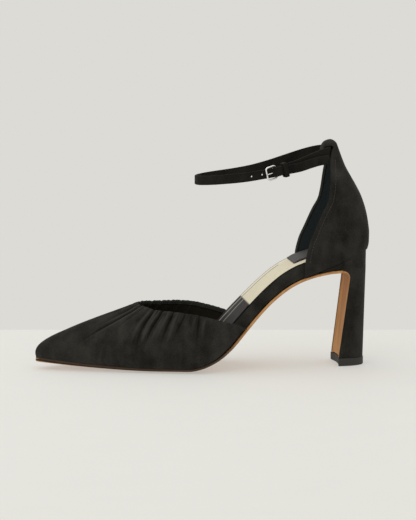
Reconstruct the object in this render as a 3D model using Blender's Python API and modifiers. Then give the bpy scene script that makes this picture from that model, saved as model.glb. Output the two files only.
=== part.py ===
"""Pointed ankle-strap pump on a block heel, left shoe.

A ruched vamp, an open waist and a closed heel quarter whose back tab folds
over to carry an ankle strap. The toe points to -X, the heel to +X, the
lateral side with the buckle is -Y, and the shoe stands on the plane Z = 0.
Metres throughout. "Along" is a share of the length, counted from the toe.
"""
import math

import bmesh
import bpy
import numpy as np
from mathutils import Vector

# Overall sizes
LENGTH = 0.240
BALL_WIDTH = 0.078
VAMP_HEIGHT = 0.0462
BACK_HEIGHT = 0.162
HEEL_RISE = 0.0836
SHANK_RISE = 0.0679
TOE_SPRING = 0.0055
TOE_SHARE = 0.20

# Walls and clearances
GAP = 0.0003
UPPER_WALL = 0.0016
OUTSOLE_THICKNESS = 0.0018
INSOLE_THICKNESS = 0.0088
SOCK_THICKNESS = 0.0009
PAD_THICKNESS = 0.0012
PAD_BORDER_LATERAL = 0.0090
PAD_BORDER_MEDIAL = 0.0030
INSOLE_CHAMFER = 0.0008
SOCK_CHAMFER = 0.0003
PAD_CHAMFER = 0.0004
INSOLE_SPAN = (0.016, 0.984)
SOCK_SPAN = (0.020, 0.982)
PAD_SPAN = (0.787, 0.965)
OUTSOLE_INSET = 0.0010
BED_CLEARANCE = 0.0009
EDGE_LIFT = 0.0015
SIDE_BULGE = 0.0012
TOE_BULGE = 0.0017
DRAW_POWER = 2.12
RIDGE_DRAW = 0.75
RIDGE_POWER = 2.5
PLEAT_DEPTH = 0.0011
CORNER_SETBACK = 0.009
CORNER_LIFT = 0.0007

# Heel
TOPLIFT_HEIGHT = 0.0057
TOPLIFT_OVERHANG = 0.0004
HEEL_TOP_WIDTH = 0.0368
HEEL_BASE_WIDTH = 0.0322
HEEL_NECK_DEPTH = 0.0140
HEEL_BASE_DEPTH = 0.0196
HEEL_BACK_INSET = 0.0024
HEEL_BACK_LEAN = 0.0018
CHEEK_THICKNESS = 0.0008
CHEEK_START = 0.06
FLAP_LEAN = 0.0005
BREAST_HOLLOW = 0.0018
BREAST_RAMP = 0.15
BREAST_RADIUS = 0.0050
SEAT_START = 0.80
LIP_START = 0.850
LIP_THICKNESS = 0.0006

# Ankle strap and buckle
STRAP_WIDTH = 0.0066
STRAP_THICKNESS = 0.0018
FOLD_THICKNESS = 0.0008
LOOP_LENGTH = 0.0964
LOOP_WIDTH = 0.0516
LOOP_RISE = 0.0206
STRAP_DROP = 0.0076
TAIL_DROOP = 0.0052
TAIL_GAP = 0.0004
BUCKLE_WIRE = 0.0012
BUCKLE_CORNER = 0.0018
BUCKLE_PLAY = 0.0005
PRONG_WIRE = 0.0008
HOLE_DIAMETER = 0.0014
HOLE_PITCH = 0.0074
HOLE_COUNT = 2
HOLE_SETBACK = 0.0032
FOLD_LAP = 0.0044
KEEPER_LENGTH = 0.0038
KEEPER_THICKNESS = 0.0010
KEEPER_PLACE = 0.0064
KEEPER_SLACK = 0.0008

HALF_LENGTH = LENGTH / 2
HALF_BALL = BALL_WIDTH / 2
STRAP_FRONT_HEIGHT = BACK_HEIGHT - STRAP_DROP - LOOP_RISE


def table(names, rows):
    """A table as one array per named column."""
    return dict(zip(names.split(), np.array(rows, float).T))


# Featherline seen from above; half widths are shares of half the ball width.
OUTLINE = table("along lateral medial", [
    (0.00, 0.000, 0.000),
    (0.02, 0.170, 0.180),
    (0.05, 0.250, 0.290),
    (0.10, 0.370, 0.440),
    (0.20, 0.570, 0.710),
    (0.30, 0.760, 0.900),
    (0.40, 0.920, 1.000),
    (0.47, 1.000, 0.955),
    (0.55, 0.930, 0.800),
    (0.62, 0.820, 0.665),
    (0.70, 0.720, 0.600),
    (0.80, 0.680, 0.630),
    (0.90, 0.610, 0.610),
    (0.96, 0.430, 0.440),
    (1.00, 0.000, 0.000),
])

# Underside of the sole; height is a share of the shank rise.
ARCH = table("along height", [
    (0.345, 0.000), (0.442, 0.000), (0.483, 0.026), (0.529, 0.100), (0.571, 0.218),
    (0.613, 0.385), (0.642, 0.503), (0.675, 0.628), (0.717, 0.762), (0.758, 0.862),
    (0.800, 0.930), (0.842, 0.974), (0.883, 0.996), (0.930, 1.000),
])

# Foot bed; thickness is a share of the insole's full thickness at the waist.
FOOT_BED = table("along thickness", [
    (0.00, 0.34), (0.32, 0.34), (0.40, 0.46), (0.46, 0.74), (0.52, 1.00), (0.60, 1.07),
    (0.68, 1.00), (0.80, 1.15), (0.88, 0.98), (0.95, 0.74), (1.00, 0.62),
])

# Topline of the vamp from its lateral corner over the throat to the medial one.
# side is a share of half the ball width, rise a share of the way up from the sole at
# the corners to the throat.
TOPLINE = table("along side rise", [
    (0.614, -0.812, 0.167),
    (0.588, -0.822, 0.282),
    (0.565, -0.822, 0.360),
    (0.533, -0.818, 0.463),
    (0.500, -0.810, 0.576),
    (0.467, -0.795, 0.674),
    (0.434, -0.756, 0.739),
    (0.399, -0.680, 0.794),
    (0.365, -0.564, 0.822),
    (0.336, -0.410, 0.869),
    (0.312, -0.218, 0.957),
    (0.300, 0.020, 1.000),
    (0.314, 0.230, 0.990),
    (0.336, 0.360, 0.962),
    (0.362, 0.455, 0.940),
    (0.389, 0.525, 0.922),
    (0.421, 0.615, 0.902),
    (0.445, 0.667, 0.874),
    (0.483, 0.713, 0.809),
    (0.516, 0.708, 0.711),
    (0.552, 0.700, 0.581),
    (0.590, 0.690, 0.403),
    (0.614, 0.668, 0.222),
])

# Gathers of the vamp; place runs from the lateral corner (-1) over the toe (0)
# to the medial corner (1), reach is how far down from the topline a fold runs.
PLEATS = table("place depth half_width reach", [
    (-0.810, 0.45, 0.024, 0.40),
    (-0.720, 0.70, 0.024, 0.52),
    (-0.642, 0.80, 0.024, 0.55),
    (-0.558, 0.90, 0.024, 0.60),
    (-0.482, 1.00, 0.022, 0.58),
    (-0.405, 1.10, 0.024, 0.72),
    (-0.330, 0.70, 0.022, 0.50),
    (-0.265, 0.65, 0.020, 0.42),
    (-0.197, 1.20, 0.020, 0.62),
    (-0.137, 0.90, 0.016, 0.36),
    (-0.075, 0.60, 0.016, 0.36),
    (0.075, 0.60, 0.016, 0.34),
    (0.140, 0.90, 0.018, 0.46),
    (0.210, 1.10, 0.020, 0.58),
    (0.285, 0.80, 0.022, 0.60),
    (0.360, 1.00, 0.022, 0.70),
    (0.440, 0.90, 0.024, 0.66),
    (0.520, 0.90, 0.024, 0.60),
    (0.600, 0.80, 0.024, 0.55),
    (0.680, 0.70, 0.024, 0.50),
    (0.770, 0.50, 0.024, 0.42),
])

# Quarter from its seat to the end of its folded tab. Each row is a U seen from
# above: its back point, its front edges and half its width (share of half ball). A rise
# is a share of the way up from the quarter's seat to the top of the back.
QUARTER = table("back_along back_rise front_along front_rise half_width", [
    (0.9955, 0.0071, 0.7930, 0.0096, 0.668),
    (0.9992, 0.0557, 0.7955, 0.1199, 0.668),
    (1.0000, 0.1425, 0.8060, 0.2418, 0.662),
    (0.9965, 0.2417, 0.8240, 0.3470, 0.640),
    (0.9905, 0.3367, 0.8450, 0.4639, 0.606),
    (0.9750, 0.4814, 0.8655, 0.5658, 0.580),
    (0.9590, 0.5785, 0.8725, 0.6660, 0.545),
    (0.9420, 0.6694, 0.8750, 0.7411, 0.480),
    (0.9265, 0.7562, 0.8765, 0.8079, 0.370),
    (0.9150, 0.8450, 0.8800, 0.8731, 0.265),
    (0.9058, 0.9215, 0.8850, 0.9270, 0.205),
    (0.8985, 0.9731, 0.8880, 0.9590, 0.185),
    (0.8830, 1.0000, 0.8810, 0.9760, 0.178),
    (0.8650, 0.9830, 0.8640, 0.9650, 0.176),
    (0.8560, 0.9380, 0.8560, 0.9330, 0.174),
    (0.8555, 0.8884, 0.8555, 0.9090, 0.170),
    (0.8565, 0.8430, 0.8565, 0.8722, 0.168),
])

# Heel from its lip (0) round the bend and down the breast (1): how far down its back
# line each ring reaches, its flare over the heel's width, and how much of that width is
# the top's (1) or the base's (0).
HEEL_FORM = table("down back_down flare top", [
    (0.00, 0.000, 1.290, 1.00), (0.07, 0.030, 1.250, 1.00), (0.15, 0.065, 1.175, 1.00),
    (0.20, 0.095, 1.085, 1.00), (0.25, 0.135, 1.020, 1.00), (0.34, 0.240, 1.000, 0.84),
    (0.50, 0.430, 1.000, 0.57), (0.68, 0.650, 1.000, 0.34), (0.85, 0.840, 1.000, 0.16),
    (1.00, 1.000, 1.000, 0.00),
])

# Centre line of the strap: the buckle's hinge, back along the lateral side, through
# the tab, round the medial side and the front, to the buckle's front bar. along and
# side are shares of the loop's length and half its width, rise a share of its rise.
STRAP_ROUTE = table("along side rise", [
    (0.562, -0.938, 0.350),
    (0.660, -0.865, 0.480),
    (0.730, -0.790, 0.580),
    (0.820, -0.655, 0.735),
    (0.885, -0.525, 0.840),
    (0.930, -0.420, 0.900),
    (0.974, -0.300, 0.950),
    (0.995, -0.155, 0.980),
    (1.000, 0.000, 1.000),
    (0.992, 0.165, 1.000),
    (0.960, 0.345, 0.990),
    (0.905, 0.535, 0.935),
    (0.820, 0.715, 0.810),
    (0.705, 0.875, 0.615),
    (0.570, 0.975, 0.400),
    (0.425, 1.000, 0.225),
    (0.280, 0.930, 0.120),
    (0.165, 0.780, 0.065),
    (0.080, 0.560, 0.030),
    (0.022, 0.285, 0.006),
    (0.000, 0.000, 0.000),
    (0.010, -0.275, 0.004),
    (0.052, -0.540, 0.024),
    (0.115, -0.745, 0.053),
    (0.188, -0.870, 0.088),
    (0.280, -0.950, 0.130),
    (0.370, -0.985, 0.185),
    (0.440, -0.995, 0.240),
    (0.483, -1.000, 0.272),
])
STRAP_BACK_ALONG = 0.881
TAIL_ROWS = 7
TAIL_SHORT = 0.40

SUEDE = (0.022, 0.024, 0.024)
SOLE_LEATHER = (0.50, 0.22, 0.08)
IVORY_LEATHER = (0.72, 0.66, 0.50)
GREY_LEATHER = (0.12, 0.11, 0.11)
BLACK_RUBBER = (0.03, 0.03, 0.03)
SILVER = (0.75, 0.74, 0.72)


def smooth(knots, values, at):
    """Monotone cubic curve through a table's points."""
    step = np.diff(knots)
    rise = np.diff(values) / step
    slope = np.zeros(len(knots))
    slope[0], slope[-1] = rise[0], rise[-1]
    before, after = 2 * step[1:] + step[:-1], step[1:] + 2 * step[:-1]
    turning = rise[:-1] * rise[1:] <= 0
    left = np.where(turning, 1.0, rise[:-1])
    right = np.where(turning, 1.0, rise[1:])
    slope[1:-1] = np.where(turning, 0.0, (before + after) / (before / left + after / right))
    at = np.clip(np.asarray(at, float), knots[0], knots[-1])
    cell = np.clip(np.searchsorted(knots, at) - 1, 0, len(step) - 1)
    t = (at - knots[cell]) / step[cell]
    return ((1 + 2 * t) * (1 - t) ** 2 * values[cell] + t * (1 - t) ** 2 * step[cell] * slope[cell]
            + t * t * (3 - 2 * t) * values[cell + 1] + t * t * (t - 1) * step[cell] * slope[cell + 1])


def turn_of(along):
    """Share of the length as an angle, which keeps both ends of an outline round."""
    return np.arccos(1 - 2 * np.clip(along, 0, 1))


def along_of(turn):
    """Share of the length back from its angle."""
    return (1 - np.cos(turn)) / 2


def half_width(along, side):
    """Half width of the featherline on one side ("lateral" or "medial")."""
    return (HALF_BALL - SIDE_BULGE * 0.35) * smooth(turn_of(OUTLINE["along"]), OUTLINE[side], turn_of(along))


def underside(along):
    """Height of the sole's underside: toe spring, flat tread, then the arch."""
    flat = ARCH["along"][0]
    spring = TOE_SPRING * np.clip(1 - along / flat, 0, 1) ** 1.6
    return spring + SHANK_RISE * smooth(ARCH["along"], ARCH["height"], along)


def line_normals(line):
    """Unit normals of an (x, z) line, on its left when it is walked."""
    step = np.gradient(line, axis=0)
    normals = np.stack([-step[:, 1], step[:, 0]], axis=1)
    return normals / np.linalg.norm(normals, axis=1)[:, None]


def sole_line(along):
    """Underside of the sole as (x, z) points with normals towards the foot."""
    line = np.stack([(along - 0.5) * LENGTH, underside(along)], axis=1)
    nudge = 0.002
    ahead = (underside(along + nudge) - underside(along - nudge)) / (2 * nudge * LENGTH)
    normals = np.stack([-ahead, np.ones_like(ahead)], axis=1)
    return line, normals / np.linalg.norm(normals, axis=1)[:, None]


def bed_line(along):
    """Line that the upper and the insole stand on: the sole, then the heel seat."""
    line, normals = sole_line(np.minimum(along, SEAT_START))
    bed = line + normals * (OUTSOLE_THICKNESS + GAP)
    rear = np.array([HALF_LENGTH - HEEL_BACK_INSET, HEEL_RISE])
    share = np.clip((along - SEAT_START) / (1 - SEAT_START), 0, 1)[:, None]
    start = bed[-1] if along[-1] >= SEAT_START else bed_line(np.array([0.7, SEAT_START]))[-1]
    return bed + (rear - start) * share


def bed_point(along, lift):
    """Points at a height above the bed line, square to it."""
    fine = np.linspace(0, 1, 401)
    line = bed_line(fine)
    normals = line_normals(line)
    lifted = [np.interp(along, fine, line[:, k]) for k in (0, 1)]
    square = [np.interp(along, fine, normals[:, k]) for k in (0, 1)]
    return lifted[0] + square[0] * lift, lifted[1] + square[1] * lift


def edge_lift(along):
    """How far the sole's edges rise off its flat middle: full at the tread, none at the heel."""
    return EDGE_LIFT * np.interp(along, (0.50, 0.60, 0.78, 0.84), (1.0, 0.4, 0.4, 0.0))


def crown(across):
    """Lift of a sole's edges off its flat middle, as a share of the edge lift."""
    return np.clip((np.abs(across) - 0.6) / 0.4, 0, 1) ** 2


def material(name, colour, roughness, metallic=0.0):
    """A plain Principled material."""
    finish = bpy.data.materials.new(name)
    finish.use_nodes = True
    shader = finish.node_tree.nodes["Principled BSDF"]
    shader.inputs["Base Color"].default_value = (*colour, 1.0)
    shader.inputs["Roughness"].default_value = roughness
    shader.inputs["Metallic"].default_value = metallic
    return finish


def collection(name):
    """A new collection in the scene."""
    group = bpy.data.collections.new(name)
    bpy.context.scene.collection.children.link(group)
    return group


def mesh_object(name, points, faces, group, finish=None):
    """Object from points and faces, with coincident points merged."""
    mesh = bpy.data.meshes.new(name)
    mesh.from_pydata(np.asarray(points).reshape(-1, 3).tolist(), [], faces)
    work = bmesh.new()
    work.from_mesh(mesh)
    bmesh.ops.remove_doubles(work, verts=work.verts, dist=1e-7)
    bmesh.ops.dissolve_degenerate(work, edges=work.edges, dist=1e-7)
    work.to_mesh(mesh)
    work.free()
    piece = bpy.data.objects.new(name, mesh)
    group.objects.link(piece)
    if finish:
        mesh.materials.append(finish)
    mesh.shade_smooth()
    mesh.set_sharp_from_angle(angle=math.radians(40))
    return piece


def grid_faces(rows, columns, wrap=False):
    """Quads of a grid of rows by columns, its columns closed into rings if asked."""
    faces = []
    for row in range(rows - 1):
        for column in range(columns if wrap else columns - 1):
            beside = (column + 1) % columns
            faces.append((row * columns + column, row * columns + beside,
                          (row + 1) * columns + beside, (row + 1) * columns + column))
    return faces


def shell(name, grid, thickness, offset, group, finish):
    """Open surface on a grid of points, thickened to a wall."""
    rows, columns = grid.shape[:2]
    piece = mesh_object(name, grid, grid_faces(rows, columns), group, finish)
    wall = piece.modifiers.new("Wall", "SOLIDIFY")
    wall.thickness = thickness
    wall.offset = offset
    wall.use_even_offset = True
    wall.thickness_clamp = 0.0
    return piece


def loft(name, rings, group, finish):
    """Closed solid through rings of points, with a flat cap at both ends."""
    count, size = rings.shape[:2]
    faces = grid_faces(count, size, wrap=True)
    faces.append(tuple(reversed(range(size))))
    faces.append(tuple((count - 1) * size + k for k in range(size)))
    return mesh_object(name, rings, faces, group, finish)


def along_at(x):
    """Share of the length at a place on the X axis."""
    return x / LENGTH + 0.5


def walk(line):
    """Share of the way walked at each point of a line."""
    steps = np.linalg.norm(np.diff(line, axis=0), axis=1)
    return np.concatenate([[0], np.cumsum(steps)]) / steps.sum()


def heel_line():
    """Exposed face of the sole from the heel's lip, round the bend and down the breast.

    Gives (x, z) points, their normals towards the heel and how many lie on the shank.
    """
    base_x = HALF_LENGTH - HEEL_BACK_INSET - HEEL_BACK_LEAN - HEEL_BASE_DEPTH
    neck_x = HALF_LENGTH - HEEL_BACK_INSET - HEEL_NECK_DEPTH
    neck_z = SHANK_RISE - BREAST_RADIUS
    lean = math.atan2(neck_x - base_x, neck_z - TOPLIFT_HEIGHT)
    base_z = TOPLIFT_HEIGHT + GAP + (OUTSOLE_THICKNESS + BREAST_HOLLOW) * math.sin(lean)
    turn = np.linspace(0, math.pi / 2 + lean, 7)
    centre = np.array([neck_x - BREAST_RADIUS, neck_z])
    bend = centre + BREAST_RADIUS * np.stack([np.sin(turn), np.cos(turn)], axis=1)
    bend_normals = np.stack([np.sin(turn), np.cos(turn)], axis=1)
    fall = np.linspace(0, 1, 7)[1:, None]
    breast = bend[-1] + (np.array([base_x, base_z]) - bend[-1]) * fall
    lip = np.linspace(LIP_START, along_at(bend[0, 0]), 6)[:-1]
    shank, shank_normals = sole_line(lip)
    normals = np.vstack([shank_normals, bend_normals, np.repeat(bend_normals[-1:], len(breast), axis=0)])
    return np.vstack([shank, bend, breast]), normals, len(lip)


def heel_half_width(share):
    """Half width of the heel and its flap at shares of the heel line."""
    flare, top = (smooth(HEEL_FORM["down"], HEEL_FORM[name], share) for name in ("flare", "top"))
    return flare * (HEEL_BASE_WIDTH + (HEEL_TOP_WIDTH - HEEL_BASE_WIDTH) * top) / 2


def breast_ramp(share):
    """How far the breast's form has set in, 0 on the lip to 1, at shares of the heel line."""
    return np.clip((share - HEEL_FORM["down"][2]) / BREAST_RAMP, 0, 1)


def breast_hollow(share):
    """How far the breast is hollowed at its middle, at shares of the heel line."""
    return BREAST_HOLLOW * breast_ramp(share)


def outsole_frames():
    """Exposed face of the whole outsole: points, normals, half widths, hollow and edge lift."""
    line, normals, lip_count = heel_line()
    share = walk(line)[lip_count:]
    line, normals = line[lip_count:], normals[lip_count:]
    round_toe = along_of(np.linspace(0, turn_of(TOE_SHARE), 9))[:-1]
    along = np.append(round_toe, np.linspace(TOE_SHARE, along_at(line[0, 0]), 27)[:-1])
    shank, shank_normals = sole_line(along)
    taper = np.sqrt(np.sin(turn_of(along)))
    lateral = np.maximum(half_width(along, "lateral") - OUTSOLE_INSET * taper, 0)
    medial = np.maximum(half_width(along, "medial") - OUTSOLE_INSET * taper, 0)
    flap = heel_half_width(share) - (CHEEK_THICKNESS + FLAP_LEAN) * breast_ramp(share) - GAP
    hollow = np.concatenate([np.zeros(len(along)), breast_hollow(share)])
    lift = np.concatenate([edge_lift(along), np.zeros(len(flap))])
    return (np.vstack([shank, line]), np.vstack([shank_normals, normals]),
            np.concatenate([lateral, flap]), np.concatenate([medial, flap]), hollow, lift)


def sole_surface(depth):
    """Grid of points on the outsole, at a depth in from its exposed face."""
    line, normals, lateral, medial, hollow, lift = outsole_frames()
    across = np.array([-1, -0.86, -0.6, -0.3, 0, 0.3, 0.6, 0.86, 1.0])
    side = np.where(across < 0, lateral[:, None], medial[:, None]) * across
    raise_by = lift[:, None] * crown(across) + hollow[:, None] * (1 - across ** 2) + depth
    x = line[:, :1] + normals[:, :1] * raise_by
    z = line[:, 1:] + normals[:, 1:] * raise_by
    return np.stack([x, side, z], axis=2)


def build_outsole(group, finish):
    """Thin leather sole from the toe to the breast and down the breast."""
    return shell("outsole", sole_surface(0.0), OUTSOLE_THICKNESS, -1.0, group, finish)


def bed_rings(along, insets, low, high, chamfer):
    """Rings of a layer on the bed, between two heights above the bed line.

    The two insets are the layer's distances in from the lateral and the medial outline.
    """
    across = np.array([-1, -0.6, 0, 0.6, 1.0])
    lateral = half_width(along, "lateral") - insets[0]
    medial = half_width(along, "medial") - insets[1]
    rings = []
    for index, place in enumerate(along):
        reach = np.where(across < 0, lateral[index], medial[index]) * across
        lift = edge_lift(place) * crown(across)
        here = np.full(len(across), place)
        lower_x, lower_z = bed_point(here, low[index] + lift)
        upper_x, upper_z = bed_point(here, np.full(len(across), high[index]))
        edge_x, edge_z = bed_point(here[:2], np.full(2, high[index] - chamfer))
        top = reach.copy()
        top[[0, -1]] -= np.sign(top[[0, -1]]) * chamfer
        ring = [(lower_x[k], reach[k], lower_z[k]) for k in range(len(across))]
        ring.append((edge_x[1], reach[-1], edge_z[1]))
        ring += [(upper_x[k], top[k], upper_z[k]) for k in reversed(range(len(across)))]
        ring.append((edge_x[0], reach[0], edge_z[0]))
        rings.append(ring)
    return np.array(rings)


def bed_stations(start, end, count):
    """Stations along the bed, closer together towards the toe and the heel."""
    return along_of(np.linspace(turn_of(start), turn_of(end), count))


def build_insole(group, finish):
    """Covered insole board, thin at the forefoot and deep along the open waist."""
    along = bed_stations(*INSOLE_SPAN, 38)
    top = INSOLE_THICKNESS * smooth(FOOT_BED["along"], FOOT_BED["thickness"], along)
    inset = UPPER_WALL + BED_CLEARANCE
    rings = bed_rings(along, (inset, inset), np.full(len(along), GAP), top, INSOLE_CHAMFER)
    return loft("insole_board", rings, group, finish)


def build_sock(group, finish):
    """Thin lining sheet glued over the insole."""
    along = bed_stations(*SOCK_SPAN, 32)
    base = INSOLE_THICKNESS * smooth(FOOT_BED["along"], FOOT_BED["thickness"], along) + GAP
    inset = UPPER_WALL + BED_CLEARANCE + GAP
    rings = bed_rings(along, (inset, inset), base, base + SOCK_THICKNESS, SOCK_CHAMFER)
    return loft("sock_lining", rings, group, finish)


def build_pad(group, finish):
    """Cushion pad on the sock under the heel of the foot."""
    along = bed_stations(*PAD_SPAN, 14)
    base = INSOLE_THICKNESS * smooth(FOOT_BED["along"], FOOT_BED["thickness"], along)
    base = base + SOCK_THICKNESS + 2 * GAP
    inset = UPPER_WALL + BED_CLEARANCE
    insets = (inset + PAD_BORDER_LATERAL, inset + PAD_BORDER_MEDIAL)
    rings = bed_rings(along, insets, base, base + PAD_THICKNESS, PAD_CHAMFER)
    return loft("heel_pad", rings, group, finish)


def feather_line(share):
    """Lower edge of the vamp; share runs -1 lateral corner, 0 toe tip, 1 medial corner."""
    reach = turn_of(TOPLINE["along"][0] - CORNER_SETBACK)
    turns = np.linspace(0, reach, 400)
    points = {}
    for side, sign in (("lateral", -1), ("medial", 1)):
        along = along_of(turns)
        lift = EDGE_LIFT * 0.9 + CORNER_LIFT * np.clip(turns / reach * 5 - 4, 0, 1)
        x, z = bed_point(along, lift)
        line = np.stack([x, sign * half_width(along, side), z], axis=1)
        here = walk(line)
        points[side] = np.stack([np.interp(np.abs(share), here, line[:, k]) for k in range(3)], axis=1)
    return np.where(share[:, None] < 0, points["lateral"], points["medial"])


def top_line(share):
    """Upper edge of the vamp at the same shares, its places drawn to the throat."""
    corner = bed_point(TOPLINE["along"][:1], 0.0)[1][0]
    rows = np.stack([(TOPLINE["along"] - 0.5) * LENGTH, TOPLINE["side"] * HALF_BALL,
                     corner + TOPLINE["rise"] * (VAMP_HEIGHT - corner)], axis=1)
    here = walk(rows)
    throat = here[np.argmin(TOPLINE["along"])]
    pull = np.abs(share) ** 1.5
    place = np.where(share < 0, throat * (1 - pull), throat + (1 - throat) * pull)
    return np.stack([smooth(here, rows[:, k], place) for k in range(3)], axis=1)


def pleat_relief(share, rise):
    """Depth of the gathers under the vamp's surface, as a share of the pleat depth."""
    relief = np.zeros(np.broadcast(share, rise).shape)
    for place, depth, half, reach in zip(*[PLEATS[k] for k in ("place", "depth", "half_width", "reach")]):
        across = np.exp(-((share - place) / half) ** 2)
        down = np.clip(1 - (1 - rise) / reach, 0, 1)
        relief = relief + depth * across * down ** 0.7
    return relief


def vamp_surface(share, rise):
    """Outer face of the vamp on a grid of shares (rows) and rises (columns, 0 to 1)."""
    foot, top = feather_line(share), top_line(share)
    around = np.abs(share)[:, None]
    drawn = rise ** DRAW_POWER + RIDGE_DRAW * rise ** RIDGE_POWER * (1 - rise) * (1 - around)
    out = np.sign(foot[:, 1])[:, None] * SIDE_BULGE * 4 * rise * (1 - rise) * np.clip(around * 3, 0, 1)
    grid = np.empty((len(share), len(rise), 3))
    for k in (0, 1):
        grid[:, :, k] = foot[:, k, None] + (top[:, k] - foot[:, k])[:, None] * drawn
    grid[:, :, 0] -= TOE_BULGE * np.sin(math.pi * np.clip(rise * 2, 0, 1)) * np.clip(1 - around * 4, 0, 1)
    grid[:, :, 1] += out
    grid[:, :, 2] = foot[:, 2, None] + (top[:, 2] - foot[:, 2])[:, None] * rise
    normals = surface_normals(grid)
    return grid - normals * (PLEAT_DEPTH * pleat_relief(share[:, None], rise[None, :]))[:, :, None]


def surface_normals(grid):
    """Outward unit normals of a vamp grid."""
    along_rows = np.gradient(grid, axis=0)
    along_columns = np.gradient(grid, axis=1)
    normals = np.cross(along_columns, along_rows)
    return normals / np.maximum(np.linalg.norm(normals, axis=2), 1e-12)[:, :, None]


def build_vamp(group, finish):
    """Gathered front of the upper, open at the throat and underneath."""
    share = np.linspace(-1, 1, 73)
    rise = np.linspace(0, 1, 11)
    grid = vamp_surface(share, rise)
    return shell("vamp", grid, UPPER_WALL, -1.0, group, finish)


def quarter_surface(rows, around):
    """Outer face of the quarter and its tab; around runs -1 to 1 across each row."""
    front_seat = bed_point(QUARTER["front_along"][:1], 0.0)[1][0]
    given = np.stack([QUARTER["back_along"], HEEL_RISE + QUARTER["back_rise"] * (BACK_HEIGHT - HEEL_RISE),
                      QUARTER["front_along"], front_seat + QUARTER["front_rise"] * (BACK_HEIGHT - front_seat),
                      QUARTER["half_width"]], axis=1)
    back_line = given[:, :2] * [LENGTH, 1.0]
    here = walk(back_line)
    back_along, back_height, front_along, front_height, half = [
        smooth(here, given[:, k], rows)[:, None] for k in range(5)]
    swing = around[None, :] * math.pi / 2
    depth = 1 - np.cos(swing)
    x = (back_along + (front_along - back_along) * depth - 0.5) * LENGTH
    z = back_height + (front_height - back_height) * depth
    side = np.sign(swing) * np.abs(np.sin(swing)) ** 0.8 * half * HALF_BALL
    return np.stack([x, side, z], axis=2)


def build_quarter(group, finish):
    """Closed heel cup that rises to a back tab folded forward over the strap."""
    grid = quarter_surface(np.linspace(0, 1, 25), np.linspace(-1, 1, 19))
    return shell("quarter", grid, UPPER_WALL, -1.0, group, finish)


def heel_ring(front, back, half, hollow, cheek=None):
    """D-shaped ring round the back, closed by a breast edge hollowed along a given (x, z).

    A cheek, an (x, z) step forward with the thickness of the cover, frames the flap.
    """
    turn = np.linspace(0, math.pi / 2, 8)
    reach, side = np.sin(turn), np.cos(turn) ** 0.72
    near = [(reach[k], -side[k]) for k in range(len(turn))]
    far = [(reach[k], side[k]) for k in reversed(range(len(turn) - 1))]
    ring = []
    for share, across in near + far:
        place = front + (back - front) * share
        ring.append((place[0], across * half, place[1]))
    edge = half
    if cheek is not None:
        edge = half - CHEEK_THICKNESS * max(cheek[2], CHEEK_START)
        step = front + cheek[:2] * max(cheek[2], CHEEK_START)
        ring += [(step[0], half, step[1]), (step[0], edge, step[1]), (front[0], edge, front[1])]
    for across in (0.66, 0.33, 0.0, -0.33, -0.66):
        place = front + hollow * (1 - across ** 2)
        ring.append((place[0], across * edge, place[1]))
    if cheek is not None:
        ring += [(front[0], -edge, front[1]), (step[0], -edge, step[1]), (step[0], -half, step[1])]
    return ring


def build_heel(group, finish):
    """Suede-covered heel block with a thin lip forward under the seat."""
    line, normals, lip_count = heel_line()
    share = walk(line)
    front = line + normals * (OUTSOLE_THICKNESS + GAP)
    front[0, 1] += LIP_THICKNESS
    front[-1, 1] = TOPLIFT_HEIGHT + GAP
    top = np.array([HALF_LENGTH - HEEL_BACK_INSET, HEEL_RISE - GAP])
    base = np.array([top[0] - HEEL_BACK_LEAN, TOPLIFT_HEIGHT + GAP])
    back = top + (base - top) * smooth(HEEL_FORM["down"], HEEL_FORM["back_down"], share)[:, None]
    half, hollow = heel_half_width(share), normals * breast_hollow(share)[:, None]
    hollow[-1, 1] = 0
    cheek = np.hstack([line - front, breast_ramp(share)[:, None]])
    cheek[-1, 1] = 0
    rings = np.array([heel_ring(front[k], back[k], half[k], hollow[k], cheek[k]) for k in range(len(half))])
    return loft("heel", rings[:, ::-1], group, finish)


def build_toplift(group, finish):
    """Rubber lift under the heel, a little proud of it and under the flap."""
    base_x = HALF_LENGTH - HEEL_BACK_INSET - HEEL_BACK_LEAN
    front = np.array([base_x - HEEL_BASE_DEPTH - TOPLIFT_OVERHANG, 0.0])
    back = np.array([base_x + TOPLIFT_OVERHANG, 0.0])
    half = HEEL_BASE_WIDTH / 2 + TOPLIFT_OVERHANG
    bottom = np.array(heel_ring(front, back, half, np.array([BREAST_HOLLOW, 0])))
    rings = np.stack([bottom + np.array([0, 0, z]) for z in (TOPLIFT_HEIGHT, 0.0)])
    return loft("toplift", rings[:, ::-1], group, finish)


def unit(vector):
    """A vector at unit length."""
    return vector / np.linalg.norm(vector)


def route_rows():
    """Rows of the strap's route in metres."""
    start_x = (STRAP_BACK_ALONG - 0.5) * LENGTH - LOOP_LENGTH
    return np.stack([start_x + STRAP_ROUTE["along"] * LOOP_LENGTH,
                     STRAP_ROUTE["side"] * LOOP_WIDTH / 2,
                     STRAP_FRONT_HEIGHT + STRAP_ROUTE["rise"] * LOOP_RISE], axis=1)


def buckle_frame_axes():
    """Hinge bar's centre and the buckle's axes: back along the strap, up, and out."""
    rows = route_rows()
    back = unit(unit(rows[1] - rows[0]) + unit(rows[0] - rows[-1]))
    up = unit(np.array([0, 0, 1.0]) - back * back[2])
    return rows[0], back, up, np.cross(back, up)


def front_bar_place():
    """Centre of the buckle's front bar, outside the strap that runs in under it."""
    hinge, back, up, out = buckle_frame_axes()
    place = route_rows()[-1] + out * (STRAP_THICKNESS / 2 + BUCKLE_PLAY * 1.5 + BUCKLE_WIRE / 2)
    return place - up * ((place - hinge) @ up)


def fold_radius():
    """Middle radius of the strap's fold round the hinge bar."""
    return BUCKLE_WIRE / 2 + BUCKLE_PLAY + FOLD_THICKNESS / 2


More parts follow.
